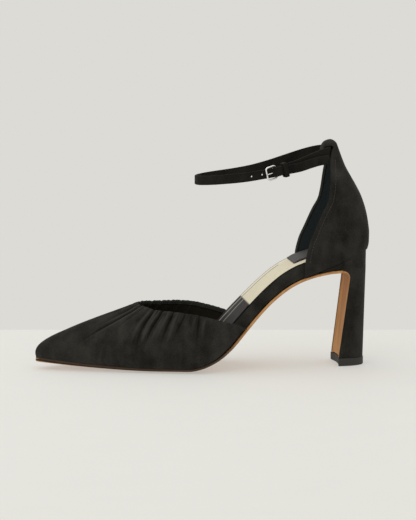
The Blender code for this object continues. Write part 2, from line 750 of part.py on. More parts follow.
def strap_path():
    """Centre line of the whole strap, with its thickness and its upright at each point."""
    hinge, back, up, out = buckle_frame_axes()
    radius = fold_radius()
    turn = np.linspace(-math.pi / 2, -3 * math.pi / 2, 9)
    lap = np.linspace(1, 0.25, 4)
    pinch = radius - (radius - FOLD_THICKNESS * 0.7) * lap ** 2 * (3 - 2 * lap)
    fold = list(zip(lap * FOLD_LAP, -pinch))
    fold += [(radius * math.cos(t), radius * math.sin(t)) for t in turn]
    fold += list(zip(lap[::-1] * FOLD_LAP, pinch[::-1]))
    fold = [hinge + back * t + out * n for t, n in fold]
    rows = route_rows()
    tail_out = STRAP_THICKNESS + TAIL_GAP
    over = radius + FOLD_THICKNESS / 2 + BUCKLE_PLAY + STRAP_THICKNESS / 2
    bridge = [hinge + out * over, hinge + back * FOLD_LAP + out * (tail_out + BUCKLE_PLAY)]
    step = np.gradient(rows[:TAIL_ROWS + 1], axis=0)[1:TAIL_ROWS]
    sideways = np.stack([step[:, 1], -step[:, 0], 0 * step[:, 0]], axis=1)
    sideways /= np.linalg.norm(sideways, axis=1)[:, None]
    droop = TAIL_DROOP * np.linspace(1 / TAIL_ROWS, 1, TAIL_ROWS - 1) ** 0.8
    tail = rows[1:TAIL_ROWS] + sideways * tail_out - np.stack([0 * droop, 0 * droop, droop], axis=1)
    tail[-1] += (tail[-2] - tail[-1]) * TAIL_SHORT
    path = np.vstack([fold, rows[1:], bridge, tail])
    thickness = np.full(len(path), STRAP_THICKNESS)
    thickness[:len(fold)] = FOLD_THICKNESS
    here = walk(path)
    kept = here[:len(fold)]
    fine = np.concatenate([kept, np.linspace(here[len(fold)], 1, 54)])
    curve = np.stack([smooth(here, path[:, k], fine) for k in range(3)], axis=1)
    stand = np.tile([0, 0, 1.0], (len(fine), 1))
    stand[:len(fold)] = up
    return curve, np.interp(fine, here, thickness), stand


def band(name, path, thickness, width, up, group, finish, closed=False):
    """Flat band with trimmed corners swept along a path; up is the way its width stands."""
    if closed:
        along = np.roll(path, -1, axis=0) - np.roll(path, 1, axis=0)
    else:
        along = np.gradient(path, axis=0)
    along /= np.linalg.norm(along, axis=1)[:, None]
    stand = up - along * np.sum(along * up, axis=1)[:, None]
    stand /= np.linalg.norm(stand, axis=1)[:, None]
    out = np.cross(along, stand)
    half_t, half_w = np.full(len(path), thickness) / 2, np.full(len(path), width) / 2
    trim = half_t * 0.4
    corners = [(trim - half_t, -half_w), (half_t - trim, -half_w), (half_t, trim - half_w),
               (half_t, half_w - trim), (half_t - trim, half_w), (trim - half_t, half_w),
               (-half_t, half_w - trim), (-half_t, trim - half_w)]
    rings = np.stack([path + out * t[:, None] + stand * w[:, None] for t, w in reversed(corners)], axis=1)
    if closed:
        rings = np.vstack([rings, rings[:1]])
        return mesh_object(name, rings, grid_faces(len(rings), 8, wrap=True), group, finish)
    return loft(name, rings, group, finish)


def rod_cutter(name, start, end, radius, group):
    """Round cutter between two points."""
    mesh = bpy.data.meshes.new(name)
    work = bmesh.new()
    axis = Vector(end - start)
    place = axis.to_track_quat("Z", "Y").to_matrix().to_4x4()
    place.translation = Vector((start + end) / 2)
    bmesh.ops.create_cone(work, cap_ends=True, segments=12, radius1=radius, radius2=radius,
                          depth=axis.length, matrix=place)
    return finish_cutter(name, mesh, work, group)


def finish_cutter(name, mesh, work, group):
    """Put a cutter's mesh in the scene, out of the renders."""
    work.to_mesh(mesh)
    work.free()
    cutter = bpy.data.objects.new(name, mesh)
    group.objects.link(cutter)
    cutter.hide_render = True
    cutter.display_type = "WIRE"
    return cutter


def slot_cutter(group):
    """Slot through the strap's fold that leaves the prong its place on the hinge bar."""
    hinge, back, up, out = buckle_frame_axes()
    reach = fold_radius() + FOLD_THICKNESS / 2 + GAP * 0.7
    mesh = bpy.data.meshes.new("prong_slot")
    work = bmesh.new()
    bmesh.ops.create_cube(work, size=2.0)
    tall = PRONG_WIRE / 2 + GAP
    for vertex in work.verts:
        corner = hinge + back * (vertex.co.x * (reach + GAP)) + up * (vertex.co.y * tall)
        vertex.co = Vector(corner + out * (vertex.co.z * reach))
    return finish_cutter("prong_slot", mesh, work, group)


def build_strap(group, cutters, finish):
    """Ankle strap from its fold round the hinge bar to its tail, with punched holes."""
    path, thickness, stand = strap_path()
    strap = band("ankle_strap", path, thickness, STRAP_WIDTH, stand, group, finish)
    hinge, back, up, out = buckle_frame_axes()
    tools = [slot_cutter(cutters)]
    tip, root = prong_line()
    tools.append(rod_cutter("prong_hole", tip, root, PRONG_WIRE / 2 + GAP, cutters))
    rows = route_rows()
    bar_x = front_bar_place()[0]
    front = rows[-8:]
    for number in range(HOLE_COUNT):
        x = bar_x - HOLE_SETBACK - number * HOLE_PITCH
        middle = np.array([np.interp(x, front[:, 0], front[:, k]) for k in range(3)])
        reach = out * STRAP_THICKNESS * 1.5
        tools.append(rod_cutter(f"hole_{number + 1}", middle - reach, middle + reach,
                                HOLE_DIAMETER / 2, cutters))
    for tool in tools:
        cut = strap.modifiers.new(tool.name, "BOOLEAN")
        cut.operation = "DIFFERENCE"
        cut.solver = "EXACT"
        cut.object = tool
    return strap


def wire(name, points, diameter, closed, group, finish):
    """Round wire along points: a curve with a bevel and filled ends."""
    curve = bpy.data.curves.new(name, "CURVE")
    curve.dimensions = "3D"
    curve.bevel_depth = diameter / 2
    curve.bevel_resolution = 2
    curve.use_fill_caps = True
    spline = curve.splines.new("POLY")
    spline.points.add(len(points) - 1)
    for point, place in zip(spline.points, points):
        point.co = (*place, 1.0)
    spline.use_cyclic_u = closed
    curve.materials.append(finish)
    piece = bpy.data.objects.new(name, curve)
    group.objects.link(piece)
    return piece


def rounded_loop(half_a, half_b, radius, steps):
    """Closed loop of a rectangle with round corners, as (a, b) pairs."""
    loop = []
    for quarter, (sign_a, sign_b) in enumerate(((1, 1), (-1, 1), (-1, -1), (1, -1))):
        for step in range(steps + 1):
            turn = (quarter + step / steps) * math.pi / 2
            loop.append((sign_a * (half_a - radius) + radius * math.cos(turn),
                         sign_b * (half_b - radius) + radius * math.sin(turn)))
    return loop


def build_buckle(group, finish):
    """Small round-cornered wire frame, hinged where the strap folds round it."""
    hinge, back, up, out = buckle_frame_axes()
    bar = front_bar_place()
    ahead = unit(bar - hinge)
    middle = (hinge + bar) / 2
    half_length = np.linalg.norm(bar - hinge) / 2
    half_height = STRAP_WIDTH / 2 + BUCKLE_PLAY + BUCKLE_WIRE / 2
    points = [middle + ahead * a + up * b
              for a, b in rounded_loop(half_length, half_height, BUCKLE_CORNER, 4)]
    return wire("buckle_frame", points, BUCKLE_WIRE, True, group, finish)


def prong_line():
    """Straight part of the prong: its tip past the front bar, and its root over the hinge."""
    hinge, back, up, out = buckle_frame_axes()
    bar = front_bar_place()
    ahead = unit(bar - hinge)
    lift = unit(out - ahead * (ahead @ out)) * (BUCKLE_WIRE / 2 + GAP + PRONG_WIRE / 2)
    return bar + lift + ahead * PRONG_WIRE, hinge + lift


def build_prong(group, finish):
    """Prong that loops round the hinge bar and rests on the front bar."""
    hinge, back, up, out = buckle_frame_axes()
    tip, root = prong_line()
    ahead = unit(tip - root)
    lift = root - hinge
    turns = np.linspace(0, 1.58 * math.pi, 11)
    loop = [hinge + lift * math.cos(t) - ahead * np.linalg.norm(lift) * math.sin(t) for t in turns]
    return wire("buckle_prong", [tip] + loop, PRONG_WIRE, False, group, finish)


def build_keeper(group, finish):
    """Loop that holds the tail against the strap behind the buckle."""
    hinge, back, up, out = buckle_frame_axes()
    low, high = -STRAP_THICKNESS / 2 - GAP, STRAP_THICKNESS * 1.5 + TAIL_GAP + BUCKLE_PLAY + 2 * GAP
    half_depth = (high - low + KEEPER_THICKNESS) / 2
    half_height = STRAP_WIDTH / 2 + KEEPER_SLACK + KEEPER_THICKNESS / 2
    centre = hinge + back * KEEPER_PLACE + out * (low + high) / 2 - up * KEEPER_SLACK * 0.4
    points = np.array([centre + out * a + up * b
                       for a, b in rounded_loop(half_depth, half_height, KEEPER_THICKNESS, 3)])
    return band("strap_keeper", points, KEEPER_THICKNESS, KEEPER_LENGTH, back, group, finish, closed=True)


def main():
    """Build every piece of the shoe."""
    for old in list(bpy.data.objects):
        bpy.data.objects.remove(old)
    shoe = collection("ankle_strap_pump")
    cutters = collection("cutters")
    suede = material("black_suede", SUEDE, 0.95)
    tan = material("tan_leather", SOLE_LEATHER, 0.5)
    ivory = material("ivory_leather", IVORY_LEATHER, 0.55)
    grey = material("grey_leather", GREY_LEATHER, 0.6)
    rubber = material("black_rubber", BLACK_RUBBER, 0.7)
    silver = material("buckle_silver", SILVER, 0.25, metallic=1.0)
    build_outsole(shoe, tan)
    build_insole(shoe, suede)
    build_sock(shoe, ivory)
    build_pad(shoe, grey)
    build_vamp(shoe, suede)
    build_quarter(shoe, suede)
    build_heel(shoe, suede)
    build_toplift(shoe, rubber)
    build_strap(shoe, cutters, suede)
    build_buckle(shoe, silver)
    build_prong(shoe, silver)
    build_keeper(shoe, suede)


main()
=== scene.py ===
"""Dressed scene of the pointed ankle-strap pump, left shoe.

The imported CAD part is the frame. Every visible piece is a numpy surface on the same
named sizes and tables as the CAD solids, at a finer step and with its creases, hems,
stitches and rounded edges, and it replaces the CAD node that it follows. Metres
throughout; the toe points to -X and the buckle side is -Y. "Along" is a share of the
shoe's length counted from the toe.
"""

import logging
import math
from dataclasses import dataclass, field
from enum import Enum

import bpy
import numpy as np
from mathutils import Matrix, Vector

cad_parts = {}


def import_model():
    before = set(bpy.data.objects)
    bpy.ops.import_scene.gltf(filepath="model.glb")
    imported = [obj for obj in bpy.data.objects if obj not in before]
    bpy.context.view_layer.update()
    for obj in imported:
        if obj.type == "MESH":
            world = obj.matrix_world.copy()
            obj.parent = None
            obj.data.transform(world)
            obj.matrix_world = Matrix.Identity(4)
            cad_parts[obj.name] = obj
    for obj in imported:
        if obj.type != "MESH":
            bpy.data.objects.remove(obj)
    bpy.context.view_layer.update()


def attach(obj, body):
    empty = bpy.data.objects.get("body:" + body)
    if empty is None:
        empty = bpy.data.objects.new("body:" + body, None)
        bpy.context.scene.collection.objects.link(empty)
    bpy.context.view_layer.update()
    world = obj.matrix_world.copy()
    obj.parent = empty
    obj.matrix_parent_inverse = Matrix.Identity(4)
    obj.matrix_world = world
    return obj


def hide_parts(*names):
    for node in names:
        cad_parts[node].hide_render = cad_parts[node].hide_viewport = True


Array = np.ndarray
Material = bpy.types.Material
Piece = bpy.types.Object
LOG = logging.getLogger("pump")

# Corner radius of a flat band, as a share of its thickness, and points of round outlines.
BAND_EDGE = 0.36
WIRE_SIDES = 16
STITCH_RINGS = 5
STITCH_SIDES = 6
ROD_SIDES = 24


def table(names: str, rows: list) -> dict[str, Array]:
    """A table as one array per named column.

    Args:
        names: Column names with spaces between them.
        rows: One tuple of numbers per row.

    Returns:
        Each column's numbers under its name.
    """
    return dict(zip(names.split(), np.array(rows, float).T))


# Featherline seen from above; half widths are shares of half the ball width.
OUTLINE = table("along lateral medial", [
    (0.00, 0.000, 0.000),
    (0.02, 0.170, 0.180),
    (0.05, 0.250, 0.290),
    (0.10, 0.370, 0.440),
    (0.20, 0.570, 0.710),
    (0.30, 0.760, 0.900),
    (0.40, 0.920, 1.000),
    (0.47, 1.000, 0.955),
    (0.55, 0.930, 0.800),
    (0.62, 0.820, 0.665),
    (0.70, 0.720, 0.600),
    (0.80, 0.680, 0.630),
    (0.90, 0.610, 0.610),
    (0.96, 0.430, 0.440),
    (1.00, 0.000, 0.000),
])

# Underside of the sole; height is a share of the shank rise.
ARCH = table("along height", [
    (0.345, 0.000), (0.442, 0.000), (0.483, 0.026), (0.529, 0.100), (0.571, 0.218),
    (0.613, 0.385), (0.642, 0.503), (0.675, 0.628), (0.717, 0.762), (0.758, 0.862),
    (0.800, 0.930), (0.842, 0.974), (0.883, 0.996), (0.930, 1.000),
])

# Foot bed; thickness is a share of the insole's full thickness at the waist.
FOOT_BED = table("along thickness", [
    (0.00, 0.34), (0.32, 0.34), (0.40, 0.46), (0.46, 0.74), (0.52, 1.00), (0.60, 1.07),
    (0.68, 1.00), (0.80, 1.15), (0.88, 0.98), (0.95, 0.74), (1.00, 0.62),
])

# Topline of the vamp from its lateral corner over the throat to the medial one.
# side is a share of half the ball width, rise a share of the way up from the sole at
# the corners to the throat.
TOPLINE = table("along side rise", [
    (0.614, -0.812, 0.167),
    (0.588, -0.822, 0.282),
    (0.565, -0.822, 0.360),
    (0.533, -0.818, 0.463),
    (0.500, -0.810, 0.576),
    (0.467, -0.795, 0.674),
    (0.434, -0.756, 0.739),
    (0.399, -0.680, 0.794),
    (0.365, -0.564, 0.822),
    (0.336, -0.410, 0.869),
    (0.312, -0.218, 0.957),
    (0.300, 0.020, 1.000),
    (0.314, 0.230, 0.990),
    (0.336, 0.360, 0.962),
    (0.362, 0.455, 0.940),
    (0.389, 0.525, 0.922),
    (0.421, 0.615, 0.902),
    (0.445, 0.667, 0.874),
    (0.483, 0.713, 0.809),
    (0.516, 0.708, 0.711),
    (0.552, 0.700, 0.581),
    (0.590, 0.690, 0.403),
    (0.614, 0.668, 0.222),
])

# Quarter from its seat to the end of its folded tab. Each row is a U seen from
# above: its back point, its front edges and half its width (share of half ball). A rise
# is a share of the way up from the quarter's seat to the top of the back.
QUARTER = table("back_along back_rise front_along front_rise half_width", [
    (0.9955, 0.0071, 0.7930, 0.0096, 0.668),
    (0.9992, 0.0557, 0.7955, 0.1199, 0.668),
    (1.0000, 0.1425, 0.8060, 0.2418, 0.662),
    (0.9965, 0.2417, 0.8240, 0.3470, 0.640),
    (0.9905, 0.3367, 0.8450, 0.4639, 0.606),
    (0.9750, 0.4814, 0.8655, 0.5658, 0.580),
    (0.9590, 0.5785, 0.8725, 0.6660, 0.545),
    (0.9420, 0.6694, 0.8750, 0.7411, 0.480),
    (0.9265, 0.7562, 0.8765, 0.8079, 0.370),
    (0.9150, 0.8450, 0.8800, 0.8731, 0.265),
    (0.9058, 0.9215, 0.8850, 0.9270, 0.205),
    (0.8985, 0.9731, 0.8880, 0.9590, 0.185),
    (0.8830, 1.0000, 0.8810, 0.9760, 0.178),
    (0.8650, 0.9830, 0.8640, 0.9650, 0.176),
    (0.8560, 0.9380, 0.8560, 0.9330, 0.174),
    (0.8555, 0.8884, 0.8555, 0.9090, 0.170),
    (0.8565, 0.8430, 0.8565, 0.8722, 0.168),
])

# Heel from its lip (0) round the bend and down the breast (1): how far down its back
# line each ring reaches, its flare over the heel's width, and how much of that width is
# the top's (1) or the base's (0).
HEEL_FORM = table("down back_down flare top", [
    (0.00, 0.000, 1.290, 1.00), (0.07, 0.030, 1.250, 1.00), (0.15, 0.065, 1.175, 1.00),
    (0.20, 0.095, 1.085, 1.00), (0.25, 0.135, 1.020, 1.00), (0.34, 0.240, 1.000, 0.84),
    (0.50, 0.430, 1.000, 0.57), (0.68, 0.650, 1.000, 0.34), (0.85, 0.840, 1.000, 0.16),
    (1.00, 1.000, 1.000, 0.00),
])

# Centre line of the strap: the buckle's hinge, back along the lateral side, through
# the tab, round the medial side and the front, to the buckle's front bar. along and
# side are shares of the loop's length and half its width, rise a share of its rise.
STRAP_ROUTE = table("along side rise", [
    (0.562, -0.938, 0.350),
    (0.660, -0.865, 0.480),
    (0.730, -0.790, 0.580),
    (0.820, -0.655, 0.735),
    (0.885, -0.525, 0.840),
    (0.930, -0.420, 0.900),
    (0.974, -0.300, 0.950),
    (0.995, -0.155, 0.980),
    (1.000, 0.000, 1.000),
    (0.992, 0.165, 1.000),
    (0.960, 0.345, 0.990),
    (0.905, 0.535, 0.935),
    (0.820, 0.715, 0.810),
    (0.705, 0.875, 0.615),
    (0.570, 0.975, 0.400),
    (0.425, 1.000, 0.225),
    (0.280, 0.930, 0.120),
    (0.165, 0.780, 0.065),
    (0.080, 0.560, 0.030),
    (0.022, 0.285, 0.006),
    (0.000, 0.000, 0.000),
    (0.010, -0.275, 0.004),
    (0.052, -0.540, 0.024),
    (0.115, -0.745, 0.053),
    (0.188, -0.870, 0.088),
    (0.280, -0.950, 0.130),
    (0.370, -0.985, 0.185),
    (0.440, -0.995, 0.240),
    (0.483, -1.000, 0.272),
])

# Creases of the vamp. place is a share of the way from the lateral corner (-1)
# over the toe (0) to the medial corner (1), drift how far the foot of a fold leans from
# its place, depth and width are metres, and low is the rise at which a fold dies out.
CREASES = table("place drift depth width low", [
    (-0.862, 0.000, 0.0003, 0.0024, 0.70), (-0.792, 0.006, 0.0006, 0.0022, 0.52),
    (-0.730, -0.030, 0.0015, 0.0021, 0.22), (-0.676, 0.000, 0.0002, 0.0018, 0.76),
    (-0.640, 0.026, 0.0013, 0.0018, 0.30), (-0.606, 0.000, 0.0003, 0.0018, 0.62),
    (-0.560, -0.026, 0.0018, 0.0021, 0.14), (-0.500, -0.014, 0.0004, 0.0018, 0.60),
    (-0.470, -0.048, 0.0022, 0.0021, 0.10), (-0.436, -0.060, 0.0005, 0.0018, 0.58),
    (-0.392, -0.118, 0.0024, 0.0023, 0.04), (-0.346, -0.080, 0.0006, 0.0019, 0.50),
    (-0.280, -0.020, 0.0009, 0.0020, 0.44), (-0.205, 0.034, 0.0026, 0.0026, 0.14),
    (-0.140, -0.040, 0.0012, 0.0020, 0.46), (-0.072, -0.006, 0.0004, 0.0020, 0.70),
    (0.075, 0.006, 0.0004, 0.0020, 0.70), (0.146, 0.024, 0.0015, 0.0021, 0.42),
    (0.214, -0.022, 0.0022, 0.0024, 0.20), (0.286, 0.025, 0.0006, 0.0020, 0.58),
    (0.380, 0.096, 0.0021, 0.0022, 0.10), (0.424, 0.050, 0.0004, 0.0018, 0.62),
    (0.470, 0.044, 0.0018, 0.0021, 0.16), (0.516, 0.015, 0.0003, 0.0018, 0.70),
    (0.556, 0.024, 0.0017, 0.0021, 0.20), (0.600, 0.005, 0.0003, 0.0018, 0.72),
    (0.644, -0.012, 0.0013, 0.0020, 0.32), (0.722, 0.018, 0.0012, 0.0021, 0.34),
    (0.795, 0.004, 0.0006, 0.0022, 0.56), (0.852, 0.000, 0.0003, 0.0024, 0.72),
])


def smooth(knots: Array, values: Array, at: Array) -> Array:
    """Monotone cubic curve: Hermite cells whose slopes are weighted harmonic means.

    Args:
        knots: Rising places of the known points.
        values: Value at each knot.
        at: Places to read the curve at.

    Returns:
        The curve's value at each place.
    """
    step = np.diff(knots)
    rise = np.diff(values) / step
    slope = np.zeros(len(knots))
    slope[0], slope[-1] = rise[0], rise[-1]
    before, after = 2 * step[1:] + step[:-1], step[1:] + 2 * step[:-1]
    turning = rise[:-1] * rise[1:] <= 0
    left = np.where(turning, 1.0, rise[:-1])
    right = np.where(turning, 1.0, rise[1:])
    slope[1:-1] = np.where(turning, 0.0, (before + after) / (before / left + after / right))
    at = np.clip(np.asarray(at, float), knots[0], knots[-1])
    cell = np.clip(np.searchsorted(knots, at) - 1, 0, len(step) - 1)
    t = (at - knots[cell]) / step[cell]
    return ((1 + 2 * t) * (1 - t) ** 2 * values[cell] + t * (1 - t) ** 2 * step[cell] * slope[cell]
            + t * t * (3 - 2 * t) * values[cell + 1] + t * t * (t - 1) * step[cell] * slope[cell + 1])


def read_line(places: Array, points: Array, at: Array) -> Array:
    """Points of a line at given places, straight between the known ones."""
    return np.stack([np.interp(at, places, column) for column in points.T], axis=-1)


def read_curve(knots: Array, points: Array, at: Array) -> Array:
    """Points of a smooth curve at given places."""
    return np.stack([smooth(knots, column, at) for column in points.T], axis=-1)


def turn_of(along: Array) -> Array:
    """Share of the length as an angle, so that both ends of an outline stay round."""
    return np.arccos(1 - 2 * np.clip(along, 0, 1))


def along_of(turn: Array) -> Array:
    """Share of the length back from its angle."""
    return (1 - np.cos(turn)) / 2


def unit(vectors: Array) -> Array:
    """Vectors at unit length, along the last axis."""
    return vectors / np.maximum(np.linalg.norm(vectors, axis=-1, keepdims=True), 1e-12)


def walk(line: Array) -> Array:
    """Share of the way walked at each point of a line."""
    steps = np.linalg.norm(np.diff(line, axis=0), axis=1)
    return np.concatenate([[0], np.cumsum(steps)]) / steps.sum()


def heading(path: Array, closed: bool) -> Array:
    """Unit direction of a path, taken from the neighbours of each point.

    Args:
        path: Points of the path.
        closed: Whether the last point joins the first.

    Returns:
        One unit vector per point.
    """
    if closed:
        return unit(np.roll(path, -1, axis=0) - np.roll(path, 1, axis=0))
    return unit(np.gradient(path, axis=0))


def distance_from_start(grid: Array, axis: int) -> Array:
    """Distance walked over a grid's surface from its first row or column."""
    steps = np.linalg.norm(np.diff(grid, axis=axis), axis=2).cumsum(axis=axis)
    return np.concatenate([np.zeros_like(np.take(steps, [0], axis=axis)), steps], axis=axis)


def sine_steps(count: int) -> Array:
    """Numbers from -1 to 1 that are closer together towards both ends."""
    return np.sin(np.linspace(-0.5, 0.5, count) * math.pi)


def ease(low: float, high: float, value: Array) -> Array:
    """Smooth step from 0 at low to 1 at high: 3 t squared less 2 t cubed."""
    t = np.clip((value - low) / (high - low), 0, 1)
    return t * t * (3 - 2 * t)


def surface_normals(grid: Array) -> Array:
    """Unit normals of a grid: its columns' direction crossed with its rows' direction."""
    return unit(np.cross(np.gradient(grid, axis=1), np.gradient(grid, axis=0)))


def ring_faces(rows: int, columns: int, wrap_rows: bool = False) -> Array:
    """Quads between closed rings.

    Args:
        rows: Number of rings.
        columns: Points of each ring, which closes on itself.
        wrap_rows: Whether the last ring also joins the first.

    Returns:
        Four vertex numbers for each face.
    """
    row = np.arange(rows if wrap_rows else rows - 1)[:, None]
    column = np.arange(columns)[None, :]
    below, beside = (row + 1) % rows, (column + 1) % columns
    corners = [row * columns + column, row * columns + beside,
               below * columns + beside, below * columns + column]
    return np.stack(np.broadcast_arrays(*corners), axis=2).reshape(-1, 4)


def put_mesh(name: str, points: Array, quads: Array, caps: list, marks: dict[str, Array],
             sharp_degrees: float) -> Piece:
    """Object from points and faces, turned so that it faces outwards.

    The signed volume, a sixth of the sum of each face fan's triple products, says
    whether the faces have to be turned.

    Args:
        name: The piece's name.
        points: One row of x, y, z per vertex.
        quads: Four vertex numbers per face.
        caps: End faces as lists of vertex numbers.
        marks: Named numbers per vertex for the finishes.
        sharp_degrees: Edges that turn by more than this are kept sharp.

    Returns:
        The new object, linked to the scene.
    """
    faces = quads.tolist() + [list(cap) for cap in caps]
    corners = points[quads]
    volume = np.einsum("ij,ij->", corners[:, 0], np.cross(corners[:, 1], corners[:, 2]))
    volume += np.einsum("ij,ij->", corners[:, 0], np.cross(corners[:, 2], corners[:, 3]))
    for cap in caps:
        fan = points[list(cap)]
        volume += np.einsum("ij,ij->", np.tile(fan[0], (len(fan) - 2, 1)), np.cross(fan[1:-1], fan[2:]))
    if volume < 0:
        faces = [face[::-1] for face in faces]
    mesh = bpy.data.meshes.new(name)
    mesh.from_pydata(points.tolist(), [], faces)
    for mark, values in marks.items():
        layer = mesh.attributes.new(mark, "FLOAT", "POINT")
        layer.data.foreach_set("value", np.asarray(values, np.float32).ravel())
    mesh.shade_smooth()
    mesh.set_sharp_from_angle(angle=math.radians(sharp_degrees))
    piece = bpy.data.objects.new(name, mesh)
    bpy.context.scene.collection.objects.link(piece)
    return piece


def put_loft(name: str, rings: Array, marks: dict[str, Array] | None = None,
             closed: bool = False, sharp_degrees: float = 50.0) -> Piece:
    """Solid through closed rings, capped at both ends or closed on itself.

    Args:
        name: The piece's name.
        rings: Points as rings by points by x, y, z.
        marks: Named numbers per ring and point.
        closed: Whether the last ring joins the first.
        sharp_degrees: Edges that turn by more than this are kept sharp.

    Returns:
        The new object.
    """
    rows, columns = rings.shape[:2]
    last = (rows - 1) * columns
    caps = [] if closed else [range(columns - 1, -1, -1), range(last, last + columns)]
    quads = ring_faces(rows, columns, closed)
    return put_mesh(name, rings.reshape(-1, 3), quads, caps, marks or {}, sharp_degrees)


def half_round(near: Array, far: Array, inside: Array, steps: int) -> Array:
    """Half circle of points about the middle of a wall, round its edge.

    Each is the middle, plus the half wall times the cosine, plus the way out of the edge
    times the sine.

    Args:
        near: Points of the outer face's edge.
        far: Points of the inner face's edge.
        inside: Points of the outer face next to its edge.
        steps: Points of each half circle.

    Returns:
        One row of points per point of the edge.
    """
    turn = np.linspace(0, math.pi, steps + 2)[1:-1, None]
    middle, half = (near + far) / 2, (near - far) / 2
    away = unit(near - inside) * np.linalg.norm(half, axis=-1, keepdims=True)
    return middle[:, None] + half[:, None] * np.cos(turn) + away[:, None] * np.sin(turn)


def wall_rings(outer: Array, inner: Array, round_start: bool = True, steps: int = 5) -> Array:
    """Closed rings round a wall: its outer face, a half round edge, and its inner face back.

    Args:
        outer: Outer face as rows by columns by x, y, z.
        inner: Inner face at the same places.
        round_start: Whether the first column's edge is rounded too, or left flat.
        steps: Points in each rounded edge.

    Returns:
        One closed ring of points for each row.
    """
    parts = [outer, half_round(outer[:, -1], inner[:, -1], outer[:, -2], steps), inner[:, ::-1]]
    if round_start:
        parts.append(half_round(outer[:, 0], inner[:, 0], outer[:, 1], steps)[:, ::-1])
    return np.concatenate(parts, axis=1)


def wall_mark(outer: Array, inner: Array, round_start: bool = True, steps: int = 5) -> Array:
    """Numbers per point for a wall's closed rings, taken across each edge in even steps.

    Args:
        outer: The number at each point of the outer face.
        inner: The number at each point of the inner face.
        round_start: As in wall_rings.
        steps: As in wall_rings.

    Returns:
        The numbers in the order of wall_rings.
    """
    mix = np.linspace(0, 1, steps + 2)[None, 1:-1]
    parts = [outer, outer[:, -1:] * (1 - mix) + inner[:, -1:] * mix, inner[:, ::-1]]
    if round_start:
        parts.append(inner[:, :1] * (1 - mix) + outer[:, :1] * mix)
    return np.concatenate(parts, axis=1)


def rounded_box(half_a: float, half_b: float, radius: float, steps: int = 4) -> Array:
    """Closed outline of a rectangle with round corners, as (a, b) pairs.

    Each corner is a quarter circle of the radius about its own centre.

    Args:
        half_a: Half of its size along a.
        half_b: Half of its size along b.
        radius: Radius of the corners.
        steps: Steps in each corner.

    Returns:
        The outline's points.
    """
    turn = np.linspace(0, math.pi / 2, steps + 1)[None, :] + np.arange(4)[:, None] * math.pi / 2
    sign_a = np.array([1, -1, -1, 1])[:, None]
    sign_b = np.array([1, 1, -1, -1])[:, None]
    a = sign_a * (half_a - radius) + radius * np.cos(turn)
    b = sign_b * (half_b - radius) + radius * np.sin(turn)
    return np.stack([a.ravel(), b.ravel()], axis=1)


def put_band(name: str, path: Array, stand: Array, thickness: Array, width: Array,
             closed: bool = False) -> Piece:
    """Flat band with rounded edges carried along a path.

    At each point the outline lies in the plane of "out" (the path crossed with the
    stand) and of the stand, which is made square to the path.

    Args:
        name: The piece's name.
        path: Points of the centre line.
        stand: Direction of the band's width at each point.
        thickness: Thickness at each point.
        width: Width at each point.
        closed: Whether the path closes on itself.

    Returns:
        The new object.
    """
    ahead = heading(path, closed)
    stand = unit(stand - ahead * np.sum(ahead * stand, axis=1, keepdims=True))
    out = np.cross(ahead, stand)
    shape = rounded_box(0.5, 1.0, BAND_EDGE)
    a = shape[None, :, 0] * thickness[:, None]
    inward = (1 - np.abs(shape[None, :, 1])) * thickness[:, None]
    b = np.sign(shape[None, :, 1]) * (width[:, None] / 2 - inward)
    rings = path[:, None] + out[:, None] * a[:, :, None] + stand[:, None] * b[:, :, None]
    return put_loft(name, rings, closed=closed)


def put_wire(name: str, path: Array, diameter: float, closed: bool = False) -> Piece:
    """Round wire: circles square to a path, kept from twisting by one fixed side.

    Args:
        name: The piece's name.
        path: Points of the centre line.
        diameter: The wire's diameter.
        closed: Whether the path closes on itself.

    Returns:
        The new object.
    """
    ahead = heading(path, closed)
    spread = path - path.mean(axis=0)
    side = np.linalg.svd(spread, full_matrices=False)[2][2]
    other = unit(np.cross(ahead, side))
    side = unit(np.cross(other, ahead))
    turn = np.linspace(0, 2 * math.pi, WIRE_SIDES + 1)[:-1]
    rings = path[:, None] + (side[:, None] * np.cos(turn)[None, :, None]
                             + other[:, None] * np.sin(turn)[None, :, None]) * diameter / 2
    return put_loft(name, rings, closed=closed)


def put_stitches(name: str, path: Array, normals: Array, pitch: float, length: float,
                 radius: float) -> Piece:
    """Row of stitches: one small closed ellipsoid for each pitch along a path.

    Args:
        name: The piece's name.
        path: Points that the row follows, on the surface.
        normals: The surface's outward normals there.
        pitch: Distance from stitch to stitch.
        length: Length of a stitch.
        radius: Half of a stitch's thickness.

    Returns:
        The new object.
    """
    total = np.linalg.norm(np.diff(path, axis=0), axis=1).sum()
    places = np.arange(pitch, total - pitch, pitch) / total
    here = walk(path)
    centre, out, ahead = (read_line(here, values, places)
                          for values in (path, normals, np.gradient(path, axis=0)))
    out, ahead = unit(out), unit(ahead)
    side = np.cross(out, ahead)
    tilt = np.linspace(-0.46, 0.46, STITCH_RINGS)[:, None] * math.pi
    turn = np.linspace(0, 2 * math.pi, STITCH_SIDES + 1)[:-1]
    body = np.stack(np.broadcast_arrays(np.sin(tilt) * length / 2, np.cos(tilt) * np.cos(turn) * radius,
                                        np.cos(tilt) * np.sin(turn) * radius), axis=2).reshape(-1, 3)
    points = (centre[:, None] + ahead[:, None] * body[None, :, :1] + side[:, None] * body[None, :, 1:2]
              + out[:, None] * body[None, :, 2:])
    size = len(body)
    shift = np.arange(len(centre))[:, None, None] * size
    quads = (ring_faces(STITCH_RINGS, STITCH_SIDES)[None] + shift).reshape(-1, 4)
    ends = np.stack([np.arange(STITCH_SIDES)[::-1], np.arange(size - STITCH_SIDES, size)])
    caps = (ends[None] + shift).reshape(-1, STITCH_SIDES).tolist()
    return put_mesh(name, points.reshape(-1, 3), quads, caps, {}, 80.0)


